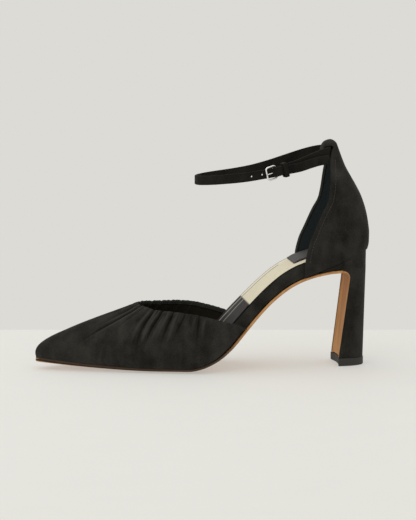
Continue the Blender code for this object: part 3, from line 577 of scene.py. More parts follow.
def put_rod(start: Array, end: Array, radius: float) -> Piece:
    """Closed round rod between two points.

    Args:
        start: Middle of its first end.
        end: Middle of its second end.
        radius: Its radius.

    Returns:
        The new object.
    """
    ahead = unit(end - start)
    side = unit(np.cross(ahead, [0.3, 0.2, 1.0]))
    other = np.cross(ahead, side)
    turn = np.linspace(0, 2 * math.pi, ROD_SIDES + 1)[:-1, None]
    ring = radius * (side * np.cos(turn) + other * np.sin(turn))
    return put_loft("hole_rod", np.stack([start + ring, end + ring]))


def cut_out(piece: Piece, cutters: list[Piece]) -> None:
    """Cut solids out of a piece with the exact solver, and remove them.

    Args:
        piece: The piece that is cut.
        cutters: The closed solids.
    """
    for cutter in cutters:
        cut = piece.modifiers.new(cutter.name, "BOOLEAN")
        cut.operation = "DIFFERENCE"
        cut.solver = "EXACT"
        cut.object = cutter
    done = bpy.data.meshes.new_from_object(piece.evaluated_get(bpy.context.evaluated_depsgraph_get()))
    piece.modifiers.clear()
    piece.data = done
    done.name = piece.name
    for cutter in cutters:
        bpy.data.objects.remove(cutter)


class Wire:
    """A node socket that takes part in Python arithmetic by adding Math nodes."""

    def __init__(self, painter: "Painter", socket: bpy.types.NodeSocket) -> None:
        """Keep the painter that adds nodes and the socket that is wrapped."""
        self.painter = painter
        self.socket = socket

    def _math(self, operation: str, left: object, right: object = 0.0) -> "Wire":
        """A Math node of one operation on two values."""
        return self.painter.node("ShaderNodeMath", {"operation": operation}, {0: left, 1: right})

    def __add__(self, other: object) -> "Wire":
        """Sum."""
        return self._math("ADD", self, other)

    __radd__ = __add__

    def __mul__(self, other: object) -> "Wire":
        """Product."""
        return self._math("MULTIPLY", self, other)

    __rmul__ = __mul__

    def __sub__(self, other: object) -> "Wire":
        """Difference."""
        return self._math("SUBTRACT", self, other)

    def __rsub__(self, other: object) -> "Wire":
        """Difference the other way round, as in 1 - mask."""
        return self._math("SUBTRACT", other, self)

    def __abs__(self) -> "Wire":
        """Size without its sign."""
        return self._math("ABSOLUTE", self)

    def step(self, low: float, high: float) -> "Wire":
        """Smooth step from 0 at low to 1 at high."""
        return self.painter.node("ShaderNodeMapRange", {"interpolation_type": "SMOOTHSTEP"},
                                 {0: self, 1: low, 2: high, 3: 0.0, 4: 1.0})

    def line(self, centre: float, half: float) -> "Wire":
        """1 on a line at a value, fading to 0 at half a line's width either side."""
        return 1 - abs(self - centre).step(half * 0.4, half)


class Painter:
    """The node tree of one material: adds nodes, joins sockets and sets the shader."""

    def __init__(self, name: str) -> None:
        """Start a Principled material.

        Args:
            name: The material's name.
        """
        self.material = bpy.data.materials.new(name)
        self.material.use_nodes = True
        self.tree = self.material.node_tree
        self.shader = self.tree.nodes["Principled BSDF"]
        self.place = self.node("ShaderNodeTexCoord", {}, {}, "Object")

    def feed(self, socket: bpy.types.NodeSocket, value: object) -> None:
        """Give a socket a value, or a link where the value is a Wire.

        Args:
            socket: The socket.
            value: A number, a colour or a Wire.
        """
        if isinstance(value, Wire):
            self.tree.links.new(value.socket, socket)
        elif isinstance(value, tuple) and len(value) == 3 and socket.type == "RGBA":
            socket.default_value = (*value, 1.0)
        else:
            socket.default_value = value

    def node(self, kind: str, settings: dict, inputs: dict, output: object = 0) -> Wire:
        """Add a node.

        Args:
            kind: The node's type.
            settings: Its own settings, set before its sockets.
            inputs: Value or Wire for each socket, by name or number.
            output: Name or number of the output that is used.

        Returns:
            The output as a Wire.
        """
        made = self.tree.nodes.new(kind)
        for key, value in settings.items():
            setattr(made, key, value)
        for key, value in inputs.items():
            self.feed(made.inputs[key], value)
        return Wire(self, made.outputs[output])

    def noise(self, scale: float, detail: float = 3.0, stretch: tuple | None = None) -> Wire:
        """Noise in object space, 0 to 1.

        Args:
            scale: Its scale per metre.
            detail: Octaves added to it.
            stretch: How much finer it is along each axis.

        Returns:
            The noise.
        """
        place = self.place
        if stretch:
            place = self.node("ShaderNodeMapping", {}, {"Vector": place, "Scale": stretch})
        return self.node("ShaderNodeTexNoise", {}, {"Vector": place, "Scale": scale, "Detail": detail})

    def axis(self, name: str) -> Wire:
        """One coordinate of object space."""
        return self.node("ShaderNodeSeparateXYZ", {}, {"Vector": self.place}, name)

    def mark(self, name: str) -> Wire:
        """A number kept on the mesh under a name."""
        return self.node("ShaderNodeAttribute", {"attribute_name": name}, {}, "Fac")

    def mix(self, share: object, first: object, second: object) -> Wire:
        """Blend of two colours."""
        return self.node("ShaderNodeMix", {"data_type": "RGBA"}, {0: share, 6: first, 7: second}, 2)

    def bump(self, height: Wire, distance: float, strength: float = 1.0) -> None:
        """Feed a height into the shader's normal."""
        wire = self.node("ShaderNodeBump", {}, {"Height": height, "Distance": distance, "Strength": strength})
        self.feed(self.shader.inputs["Normal"], wire)

    def finish(self, **sockets: object) -> Material:
        """Set the shader's sockets.

        Args:
            sockets: Values or Wires by the socket's name, with _ for a space.

        Returns:
            The material.
        """
        for name, value in sockets.items():
            self.feed(self.shader.inputs[name.replace("_", " ")], value)
        return self.material


class Nap(Enum):
    """Ways that suede shows its nap."""

    OUTER = "outer"
    LINING = "lining"


@dataclass(frozen=True)
class Suede:
    """Black suede: brushed patches, short fibres and a soft sheen.

    With the lining nap the marks "fold", "inside" and "drop" (distance to the hem) paint shade into
    the troughs of the gathers and a highlight on their ridges and on the turned hem, and turn the inner face,
    past its turned hem, to a smooth lining.
    """

    name: str
    nap: Nap = Nap.OUTER
    dark: tuple = (0.0062, 0.0053, 0.0041)
    light: tuple = (0.0400, 0.0385, 0.0330)
    lining: tuple = (0.0300, 0.0245, 0.0165)
    # Painted shade of the crease troughs, also the dark hem seam; painted highlight of the ridges and the
    # turned hem.
    painted_crease_shade_and_seam: tuple = (0.0022, 0.0019, 0.0016)
    painted_ridge_and_hem_highlight: tuple = (0.0580, 0.0580, 0.0530)
    sheen_tint: tuple = (0.66, 0.70, 0.68)
    hem: float = 0.0029
    hem_blur: float = 0.0003
    seam_half: float = 0.0006
    nap_height: float = 0.00026

    def shade_inside(self, paint: Painter, colour: Wire, height: Wire) -> tuple[Wire, Wire]:
        """Paint shade into the troughs of the gathers and a highlight on their ridges and on the turned hem,
        and colour the hem's seam and the lining.

        Args:
            paint: The painter of this material.
            colour: Colour of the suede.
            height: Height of its nap.

        Returns:
            Colour and height with all four.
        """
        fold, inside, drop = (paint.mark(name) for name in ("fold", "inside", "drop"))
        face = inside.step(0.6, 0.95)
        within = face * drop.step(self.hem - self.hem_blur, self.hem + self.hem_blur)
        seam = face * drop.line(self.hem, self.seam_half)
        turned = inside.step(0.5, 0.9) * (1 - drop.step(self.hem - self.seam_half, self.hem))
        # Painted shade in the crease troughs, painted highlight on the ridges and the turned hem, the
        # lining's own colour, and a dark seam line.
        for share, shade in ((fold.step(0.08, 0.90) * 0.58, self.painted_crease_shade_and_seam),
                             ((0 - fold).step(0.12, 0.42) * 0.42, self.painted_ridge_and_hem_highlight),
                             (within * 0.9, self.lining), (turned * 0.75, self.painted_ridge_and_hem_highlight),
                             (seam * 0.6, self.painted_crease_shade_and_seam)):
            colour = paint.mix(share, colour, shade)
        return colour, height * (1 - within * 0.6) - seam * 0.8

    def build(self) -> Material:
        """Colour from patches, spots, streaks and fibres, bump from fibres and clumps.

        Returns:
            The material.
        """
        paint = Painter(self.name)
        patches, spots = paint.noise(26.0, 4.0), paint.noise(75.0, 4.0)
        streaks = paint.noise(150.0, 3.0, (1.0, 1.0, 0.30))
        fibres, clumps = paint.noise(1500.0, 2.0), paint.noise(420.0, 3.0)
        tone = (patches.step(0.34, 0.70) * 0.22 + spots.step(0.36, 0.68) * 0.32
                + streaks.step(0.35, 0.7) * 0.22 + fibres.step(0.3, 0.75) * 0.30)
        colour = paint.mix(tone, self.dark, self.light)
        height = fibres * 0.45 + clumps * 0.40 + spots * 0.7
        if self.nap is Nap.LINING:
            colour, height = self.shade_inside(paint, colour, height)
        paint.bump(height, self.nap_height, 0.85)
        return paint.finish(Base_Color=colour, Roughness=0.93 - fibres * 0.08, Sheen_Weight=0.06,
                            Sheen_Roughness=0.40, Sheen_Tint=self.sheen_tint, Specular_IOR_Level=0.10)


@dataclass(frozen=True)
class SoleLeather:
    """Tan sole leather: long grain down the breast, darker burnished edges."""

    name: str = "tan_sole_leather"
    dark: tuple = (0.370, 0.165, 0.052)
    light: tuple = (0.640, 0.350, 0.140)
    burnished: tuple = (0.030, 0.022, 0.018)
    tread_low: float = 0.008
    tread_high: float = 0.030
    grain_height: float = 0.00016

    def build(self) -> Material:
        """Colour from stretched grain and pores; the mark "edge" darkens the cut edge.

        The burnish stays off the breast (the mark "shank") and fades up the arch.

        Returns:
            The material.
        """
        paint = Painter(self.name)
        grain = paint.noise(240.0, 4.0, (1.0, 1.0, 0.10))
        cloud = paint.noise(60.0, 3.0, (1.0, 1.0, 0.4))
        pores = paint.noise(1400.0, 2.0)
        tone = grain.step(0.30, 0.70) * 0.55 + cloud * 0.35 + pores * 0.15
        colour = paint.mix(tone, self.dark, self.light)
        edge = paint.mark("edge").step(0.55, 0.95)
        shank = 1 - paint.mark("shank").step(0.3, 0.7)
        tread = 1 - paint.axis("Z").step(self.tread_low, self.tread_high)
        colour = paint.mix(edge * shank * tread * 0.94, colour, self.burnished)
        paint.bump(grain * 0.6 + pores * 0.4, self.grain_height, 0.6)
        return paint.finish(Base_Color=colour, Roughness=0.60 + grain * 0.18, Specular_IOR_Level=0.25)


@dataclass(frozen=True)
class SockLeather:
    """Lining leather of the sock: ivory at the waist, dark grey in front, stitched lines."""

    name: str = "sock_leather"
    ivory: tuple = (0.800, 0.735, 0.570)
    ivory_shade: tuple = (0.680, 0.615, 0.460)
    ivory_border: tuple = (0.860, 0.830, 0.720)
    ivory_line: tuple = (0.130, 0.122, 0.108)
    grey: tuple = (0.019, 0.017, 0.016)
    grey_shade: tuple = (0.036, 0.033, 0.031)
    grey_line: tuple = (0.330, 0.315, 0.285)
    edge: tuple = (0.040, 0.040, 0.043)
    joint: tuple = (0.160, 0.150, 0.130)
    ivory_start: float = 0.661
    line_end: float = 0.762
    joint_half: float = 0.0022
    border: float = 0.0085
    line_half: float = 0.0015
    middle: float = 0.0012
    edge_width: float = 0.0020
    pore_height: float = 0.00012

    def build(self) -> Material:
        """Panels by the mark "along", lines by the mark "rim", the distance to the edge.

        The lined border lies on the medial side alone, and a second line runs down the
        middle of the grey panel.

        Returns:
            The material.
        """
        paint = Painter(self.name)
        pores, cloud = paint.noise(1600.0, 2.0), paint.noise(70.0, 3.0)
        grain = paint.noise(420.0, 3.0, (0.12, 1.0, 1.0))
        along, rim, side = paint.mark("along"), paint.mark("rim"), paint.axis("Y")
        waist = along.step(self.ivory_start - 0.0012, self.ivory_start + 0.0012)
        inner = rim.step(self.border - 0.0002, self.border + 0.0002)
        medial = side.step(0.002, 0.006)
        end = 1 - along.step(self.line_end - 0.002, self.line_end)
        line = rim.line(self.border, self.line_half) * medial * end
        pair = rim.line(self.border, self.line_half * 1.5) * medial + side.line(self.middle, self.line_half)
        ivory = paint.mix(cloud * 0.35 + pores * 0.15, self.ivory, self.ivory_shade)
        ivory = paint.mix((1 - inner) * medial * 0.35, ivory, self.ivory_border)
        ivory = paint.mix(line * 0.75, ivory, self.ivory_line)
        grey = paint.mix(cloud * 0.3 + grain.step(0.35, 0.70) * 0.5, self.grey, self.grey_shade)
        grey = paint.mix(pair * 0.85, grey, self.grey_line)
        colour = paint.mix(waist, grey, ivory)
        edge = (1 - rim.step(self.edge_width * 0.6, self.edge_width)) * medial
        colour = paint.mix(edge * 0.9, colour, self.edge)
        joint = along.line(self.ivory_start, self.joint_half)
        colour = paint.mix(joint * 0.35, colour, self.joint)
        paint.bump(pores * 0.5 + cloud * 0.3 - line * 0.8 - joint * 0.8, self.pore_height, 0.6)
        return paint.finish(Base_Color=colour, Roughness=0.58 + pores * 0.15, Specular_IOR_Level=0.15)


@dataclass(frozen=True)
class PlainLeather:
    """Fine-grained leather of one colour with a soft cloud."""

    name: str
    colour: tuple
    worn: tuple
    roughness: float = 0.55
    pore_height: float = 0.00012

    def build(self) -> Material:
        """Colour from a cloud, bump from pores.

        Returns:
            The material.
        """
        paint = Painter(self.name)
        pores, cloud = paint.noise(1500.0, 2.0), paint.noise(90.0, 3.0)
        colour = paint.mix(cloud.step(0.3, 0.75) * 0.7 + pores * 0.2, self.colour, self.worn)
        paint.bump(pores * 0.6 + cloud * 0.3, self.pore_height, 0.5)
        return paint.finish(Base_Color=colour, Roughness=self.roughness + pores * 0.12)


@dataclass(frozen=True)
class Rubber:
    """Dark grey rubber of the toplift, paler at its foot."""

    name: str = "toplift_rubber"
    dark: tuple = (0.017, 0.015, 0.013)
    light: tuple = (0.044, 0.040, 0.036)
    foot_height: float = 0.0016
    speckle_height: float = 0.0001

    def build(self) -> Material:
        """Fine speckle, and a paler band at the foot.

        Returns:
            The material.
        """
        paint = Painter(self.name)
        speckle = paint.noise(900.0, 2.0)
        foot = 1 - paint.axis("Z").step(0.0, self.foot_height)
        colour = paint.mix(speckle * 0.5 + foot * 0.4, self.dark, self.light)
        paint.bump(speckle, self.speckle_height, 0.5)
        return paint.finish(Base_Color=colour, Roughness=0.62 + speckle * 0.15)


@dataclass(frozen=True)
class Metal:
    """Polished silver-coloured metal with faint handling marks."""

    name: str = "buckle_silver"
    colour: tuple = (0.86, 0.85, 0.82)

    def build(self) -> Material:
        """Metallic, its roughness broken by fine noise.

        Returns:
            The material.
        """
        paint = Painter(self.name)
        roughness = 0.14 + paint.noise(700.0, 3.0).step(0.4, 0.8) * 0.14
        return paint.finish(Base_Color=self.colour, Metallic=1.0, Roughness=roughness)


@dataclass(frozen=True)
class Thread:
    """Black twisted thread."""

    name: str = "black_thread"
    dark: tuple = (0.020, 0.020, 0.019)
    light: tuple = (0.060, 0.060, 0.056)
    twist_height: float = 0.0001

    def build(self) -> Material:
        """Dark, slightly glossy, with a fine twist in the bump.

        Returns:
            The material.
        """
        paint = Painter(self.name)
        twist = paint.noise(2600.0, 1.0)
        paint.bump(twist, self.twist_height, 0.6)
        return paint.finish(Base_Color=paint.mix(twist, self.dark, self.light), Roughness=0.55)


def dress(piece: Piece, finish: Material, slot: str, *nodes: str) -> Piece:
    """Give a piece its finish, let it ride on the shoe and stand for CAD nodes.

    Args:
        piece: The piece.
        finish: Its material.
        slot: Not used.
        nodes: CAD nodes that it replaces.

    Returns:
        The same piece.
    """
    piece.data.materials.append(finish)
    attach(piece, "root")
    if nodes:
        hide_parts(*nodes)
    LOG.info("%s: %d faces, stands for %s", piece.name, len(piece.data.polygons), nodes or "no node")
    return piece


@dataclass(frozen=True)
class Last:
    """Form that the sole, the bed and the vamp follow, with its real sizes."""

    length: float = 0.240
    ball_width: float = 0.078
    shank_rise: float = 0.0679
    heel_rise: float = 0.0836
    toe_spring: float = 0.0055
    side_bulge: float = 0.0012
    edge_rise: float = 0.0015
    flat_share: float = 0.6
    sole_thickness: float = 0.0018
    gap: float = 0.0003
    seat_start: float = 0.80
    back_inset: float = 0.0024

    def half_width(self, along: Array, side: str) -> Array:
        """Half width of the outline on one side, from the table over the end-round angle."""
        reach = self.ball_width / 2 - self.side_bulge * 0.35
        return reach * smooth(turn_of(OUTLINE["along"]), OUTLINE[side], turn_of(along))

    def underside(self, along: Array) -> Array:
        """Height of the sole's underside: toe spring to the power 1.6, flat tread, arch."""
        spring = self.toe_spring * np.clip(1 - along / ARCH["along"][0], 0, 1) ** 1.6
        return spring + self.shank_rise * smooth(ARCH["along"], ARCH["height"], along)

    def sole_line(self, along: Array) -> tuple[Array, Array]:
        """Underside as (x, z) points, and its normals towards the foot.

        Args:
            along: Shares of the length.

        Returns:
            The points and the normals.
        """
        line = np.stack([(along - 0.5) * self.length, self.underside(along)], axis=1)
        nudge = 0.002
        slope = (self.underside(along + nudge) - self.underside(along - nudge)) / (2 * nudge * self.length)
        return line, unit(np.stack([-slope, np.ones_like(slope)], axis=1))

    def bed_line(self, along: Array) -> Array:
        """Line under upper and insole: the sole's upper face, then straight to the back.

        Args:
            along: Shares of the length.

        Returns:
            Points as (x, z).
        """
        line, normals = self.sole_line(np.minimum(along, self.seat_start))
        bed = line + normals * (self.sole_thickness + self.gap)
        seat, seat_normal = self.sole_line(np.array([self.seat_start]))
        start = (seat + seat_normal * (self.sole_thickness + self.gap))[0]
        rear = np.array([self.length / 2 - self.back_inset, self.heel_rise])
        share = np.clip((along - self.seat_start) / (1 - self.seat_start), 0, 1)[:, None]
        return bed + (rear - start) * share

    def bed_point(self, along: Array, lift: Array) -> Array:
        """Points (x, z) at a height square to the bed line.

        Args:
            along: Shares of the length.
            lift: Height at each of them.

        Returns:
            The points.
        """
        fine = np.linspace(0, 1, 801)
        line = self.bed_line(fine)
        step = unit(np.gradient(line, axis=0))
        normals = np.stack([-step[:, 1], step[:, 0]], axis=1)
        at, square = (read_line(fine, values, along) for values in (line, normals))
        return at + square * np.asarray(lift)[..., None]

    def crown(self, across: Array) -> Array:
        """Share of the edges' rise over the width: 0 on the flat middle, then a square."""
        return np.clip((np.abs(across) - self.flat_share) / (1 - self.flat_share), 0, 1) ** 2

    def edge_lift(self, along: Array) -> Array:
        """How far the sole's edges rise off its flat middle."""
        return self.edge_rise * np.interp(along, (0.50, 0.60, 0.78, 0.84), (1.0, 0.4, 0.4, 0.0))


@dataclass(frozen=True)
class HeelForm:
    """Line of the heel's breast and the heel's widths."""

    last: Last
    toplift_height: float = 0.0057
    top_width: float = 0.0368
    base_width: float = 0.0322
    neck_depth: float = 0.0140
    base_depth: float = 0.0196
    back_lean: float = 0.0018
    cheek: float = 0.0008
    cheek_start: float = 0.06
    cheek_edge: float = 0.0001
    side_power: float = 0.72
    round_steps: int = 22
    breast_steps: int = 17
    flap_lean: float = 0.0002
    hollow: float = 0.0018
    ramp_length: float = 0.15
    bend_radius: float = 0.0050
    lip_start: float = 0.840
    lip_thickness: float = 0.0005
    overhang: float = 0.0004

    def line(self, steps: int = 24) -> tuple[Array, Array, int]:
        """Exposed face of the sole from the heel's lip round the bend and down the breast.

        The bend is an arc of the bend radius from level to the breast's lean.

        Args:
            steps: Points on the bend, and on the breast.

        Returns:
            Points as (x, z), normals towards the heel, and how many lie on the shank.
        """
        last = self.last
        base_x = last.length / 2 - last.back_inset - self.back_lean - self.base_depth
        neck_x = last.length / 2 - last.back_inset - self.neck_depth
        neck_z = last.shank_rise - self.bend_radius
        lean = math.atan2(neck_x - base_x, neck_z - self.toplift_height)
        base_z = self.toplift_height + last.gap + (last.sole_thickness + self.hollow) * math.sin(lean)
        turn = np.linspace(0, math.pi / 2 + lean, steps)
        normals = np.stack([np.sin(turn), np.cos(turn)], axis=1)
        bend = np.array([neck_x - self.bend_radius, neck_z]) + self.bend_radius * normals
        fall = np.linspace(0, 1, steps)[1:, None]
        breast = bend[-1] + (np.array([base_x, base_z]) - bend[-1]) * fall
        lip = np.linspace(self.lip_start, bend[0, 0] / last.length + 0.5, 10)[:-1]
        shank, shank_normals = last.sole_line(lip)
        square = np.vstack([shank_normals, normals, np.repeat(normals[-1:], len(breast), axis=0)])
        return np.vstack([shank, bend, breast]), square, len(lip)

    def half_width(self, share: Array) -> Array:
        """Half width of the heel at shares of its line: flare times a blend of two widths."""
        flare, top = (smooth(HEEL_FORM["down"], HEEL_FORM[name], share) for name in ("flare", "top"))
        return flare * (self.base_width + (self.top_width - self.base_width) * top) / 2

    def ramp(self, share: Array) -> Array:
        """How far the breast's form has set in, 0 on the lip to 1."""
        return np.clip((share - HEEL_FORM["down"][2]) / self.ramp_length, 0, 1)

    def ring(self, front: Array, back: Array, half: float, hollow: Array,
             cheek: Array | None = None) -> Array:
        """D-shaped ring: sine and a softened cosine round the back, a hollowed breast line.

        Args:
            front: Middle of the breast edge as (x, z).
            back: Back of the ring.
            half: Half of its width.
            hollow: Step to the middle of the hollowed breast.
            cheek: Step forward (x, z) of the cover that frames the flap, and its share.

        Returns:
            The closed ring of points.
        """
        turn = np.linspace(0, math.pi / 2, self.round_steps)
        reach, side = np.sin(turn), np.cos(turn) ** self.side_power
        share = np.concatenate([reach, reach[::-1][1:]])
        across = np.concatenate([-side, side[::-1][1:]]) * half
        at = front + (back - front) * share[:, None]
        inner = np.linspace(1, -1, self.breast_steps)
        edge = half
        if cheek is not None:
            part = max(cheek[2], self.cheek_start)
            edge = half - self.cheek * part
            frame = front + cheek[:2] * part
            lips = np.array([half - self.cheek_edge, edge + self.cheek_edge])
            at = np.vstack([at, frame, frame])
            across = np.concatenate([across, lips])
        breast = front + hollow * (1 - inner ** 2)[:, None]
        at, across = np.vstack([at, breast]), np.concatenate([across, inner * edge])
        if cheek is not None:
            at, across = np.vstack([at, frame, frame]), np.concatenate([across, -lips[::-1]])
        return np.stack([at[:, 0], across, at[:, 1]], axis=1)


@dataclass
class Sole:
    """Outsole with its breast flap, and the toplift."""

    last: Last
    heel: HeelForm
    inset: float = 0.0010
    rows_of_tread: int = 90
    columns: int = 33
    toe_turn: float = 0.045
    edge_steps: int = 4
    toplift_levels: tuple = ((0.0, 0.970), (0.0002, 0.988), (0.0006, 1.0),
                             (0.0050, 1.0), (0.0055, 0.992), (0.0057, 0.975))

    def frames(self) -> tuple[Array, ...]:
        """Points, normals, half widths, hollow, edge lift and breast share of every row.

        Returns:
            Points (x, z), normals, lateral and medial half widths, hollow, lift and share.
        """
        line, normals, lip = self.heel.line()
        share = walk(line)[lip:]
        line, normals = line[lip:], normals[lip:]
        end = turn_of(line[0, 0] / self.last.length + 0.5)
        along = along_of(np.linspace(self.toe_turn, end, self.rows_of_tread))[:-1]
        shank, shank_normals = self.last.sole_line(along)
        taper = np.sqrt(np.sin(turn_of(along)))
        sides = [np.maximum(self.last.half_width(along, side) - self.inset * taper, 2e-5)
                 for side in ("lateral", "medial")]
        flap = self.heel.half_width(share) - (self.heel.cheek + self.heel.flap_lean) * self.heel.ramp(share)
        on_shank, on_flap = np.zeros(len(along)), np.ones(len(flap))
        return (np.vstack([shank, line]), np.vstack([shank_normals, normals]),
                np.concatenate([sides[0], flap]), np.concatenate([sides[1], flap]),
                np.concatenate([on_shank, self.heel.hollow * self.heel.ramp(share)]),
                np.concatenate([self.last.edge_lift(along), on_flap * 0]),
                np.concatenate([on_shank, on_flap]))

    def build(self, leather: Material) -> Piece:
        """Outsole as one wall: its exposed face, rounded edges and its face to the bed.

        Args:
            leather: Its material.

        Returns:
            The new object.
        """
        line, normals, lateral, medial, hollow, lift, flap = self.frames()
        across = sine_steps(self.columns)
        side = np.where(across < 0, lateral[:, None], medial[:, None]) * across
        raised = lift[:, None] * self.last.crown(across) + hollow[:, None] * (1 - across ** 2)
        faces = []
        for depth in (0.0, self.last.sole_thickness):
            at = line[:, None] + normals[:, None] * (raised + depth)[:, :, None]
            faces.append(np.stack([at[:, :, 0], side, at[:, :, 1]], axis=2))
        # The outermost columns move in by half the thickness, where the round edge starts.
        trim = np.minimum(self.last.sole_thickness * 0.5, np.minimum(lateral, medial) * 0.5)[:, None]
        for face in faces:
            face[:, :, 1] -= np.clip(face[:, :, 1], -trim, trim) * (np.abs(across) > 0.98)
        rings = wall_rings(faces[0], faces[1], True, self.edge_steps)
        edge = np.broadcast_to(ease(0.80, 0.90, np.abs(across)), side.shape)
        marks = {"edge": wall_mark(edge, edge, True, self.edge_steps),
                 "shank": np.broadcast_to(flap[:, None], rings.shape[:2])}
        return dress(put_loft("outsole_leather", rings, marks), leather, "tan_leather", "outsole")

    def build_toplift(self, rubber: Material) -> Piece:
        """Toplift: the heel's base ring, drawn in at both rims for a small round edge.

        Args:
            rubber: Its material.

        Returns:
            The new object.
        """
        base_x = self.last.length / 2 - self.last.back_inset - self.heel.back_lean
        front = np.array([base_x - self.heel.base_depth - self.heel.overhang, 0.0])
        back = np.array([base_x + self.heel.overhang, 0.0])
        half = self.heel.base_width / 2 + self.heel.overhang
        ring = self.heel.ring(front, back, half, np.array([self.heel.hollow, 0.0]))
        centre = ring.mean(axis=0)
        rings = np.stack([centre + (ring - centre) * scale + np.array([0, 0, z])
                          for z, scale in self.toplift_levels])
        return dress(put_loft("toplift_rubber", rings), rubber, "black_rubber", "toplift")


@dataclass
class Bed:
    """Insole board, sock and heel pad, each a layer on the bed line."""

    last: Last
    insole_thickness: float = 0.0088
    sock_thickness: float = 0.0009
    pad_thickness: float = 0.0012
    upper_wall: float = 0.0016
    clearance: float = 0.0009
    pad_border_lateral: float = 0.0090
    pad_border_medial: float = 0.0030
    board_span: tuple = (0.016, 0.984)
    sock_span: tuple = (0.020, 0.982)
    pad_span: tuple = (0.787, 0.965)
    board_radius: float = 0.0008
    sock_radius: float = 0.0004
    pad_radius: float = 0.0005
    columns: int = 41
    edge_steps: int = 6
    rows: int = 130
    pad_rows: int = 60

    def board_top(self, along: Array) -> Array:
        """Height of the insole's upper face over the bed line, from the table."""
        return self.insole_thickness * smooth(FOOT_BED["along"], FOOT_BED["thickness"], along)

    def layer(self, name: str, along: Array, insets: tuple[float, float], low: Array,
              high: Array, radius: float) -> Piece:
        """Layer between two heights, its upper edge rounded by a quarter circle.

        The lower face follows the sole's crowned edges; the upper one is flat across.

        Args:
            name: The piece's name.
            along: Stations, as shares of the length.
            insets: How far it stays inside the outline, at the lateral and medial side.
            low: Height of its lower face over the bed line.
            high: Height of its upper face.
            radius: Radius of the upper edge.

        Returns:
            The new object, with the marks "along" and "rim".
        """
        across = sine_steps(self.columns)
        widths = [np.maximum(self.last.half_width(along, side) - inset, 2e-4)
                  for side, inset in zip(("lateral", "medial"), insets)]
        reach = np.where(across < 0, widths[0][:, None], widths[1][:, None])
        under = low[:, None] + self.last.edge_lift(along)[:, None] * self.last.crown(across)
        turn = np.linspace(0, math.pi / 2, self.edge_steps)
        round_in, rounding = radius * (1 - np.cos(turn)), high[:, None] - radius + radius * np.sin(turn)
        inner = np.maximum(reach - radius, 1e-4)
        top = np.broadcast_to(high[:, None], reach.shape)
        side = np.concatenate([reach * across, widths[1][:, None] - round_in,
                               (inner * across)[:, ::-1][:, 1:-1],
                               -(widths[0][:, None] - round_in)[:, ::-1]], axis=1)
        height = np.concatenate([under, rounding, top[:, 1:-1], rounding[:, ::-1]], axis=1)
        stations = np.broadcast_to(along[:, None], side.shape)
        at = self.last.bed_point(stations, height)
        rim = np.where(side < 0, widths[0][:, None], widths[1][:, None]) - np.abs(side)
        return put_loft(name, np.stack([at[..., 0], side, at[..., 1]], axis=2),
                        {"along": stations, "rim": rim}, sharp_degrees=55.0)

    def stations(self, span: tuple[float, float], count: int) -> Array:
        """Stations over a span that are closer together towards both ends."""
        return along_of(np.linspace(turn_of(span[0]), turn_of(span[1]), count))

    def build(self, suede: Material, sock: Material, pad: Material) -> None:
        """Board covered in suede, lining sheet over it, and the cushion pad.

        Args:
            suede: Material of the board's cover.
            sock: Material of the lining sheet.
            pad: Material of the pad.
        """
        gap = self.last.gap
        inset = self.upper_wall + self.clearance
        along = self.stations(self.board_span, self.rows)
        board = self.layer("insole_cover", along, (inset, inset), np.full(len(along), gap),
                           self.board_top(along), self.board_radius)
        dress(board, suede, "black_suede", "insole_board")
        along = self.stations(self.sock_span, self.rows)
        base = self.board_top(along) + gap
        sheet = self.layer("sock_sheet", along, (inset + gap, inset + gap), base,
                           base + self.sock_thickness, self.sock_radius)
        dress(sheet, sock, "ivory_leather", "sock_lining")
        along = self.stations(self.pad_span, self.pad_rows)
        base = self.board_top(along) + self.sock_thickness + 2 * gap
        here = walk(along[:, None])
        ends = np.minimum(ease(0, 0.10, here), ease(0, 0.10, 1 - here))
        thick = self.pad_thickness * (0.45 + 0.55 * ends)
        borders = (inset + self.pad_border_lateral, inset + self.pad_border_medial)
        cushion = self.layer("heel_cushion", along, borders, base, base + thick, self.pad_radius)
        dress(cushion, pad, "grey_leather", "heel_pad")


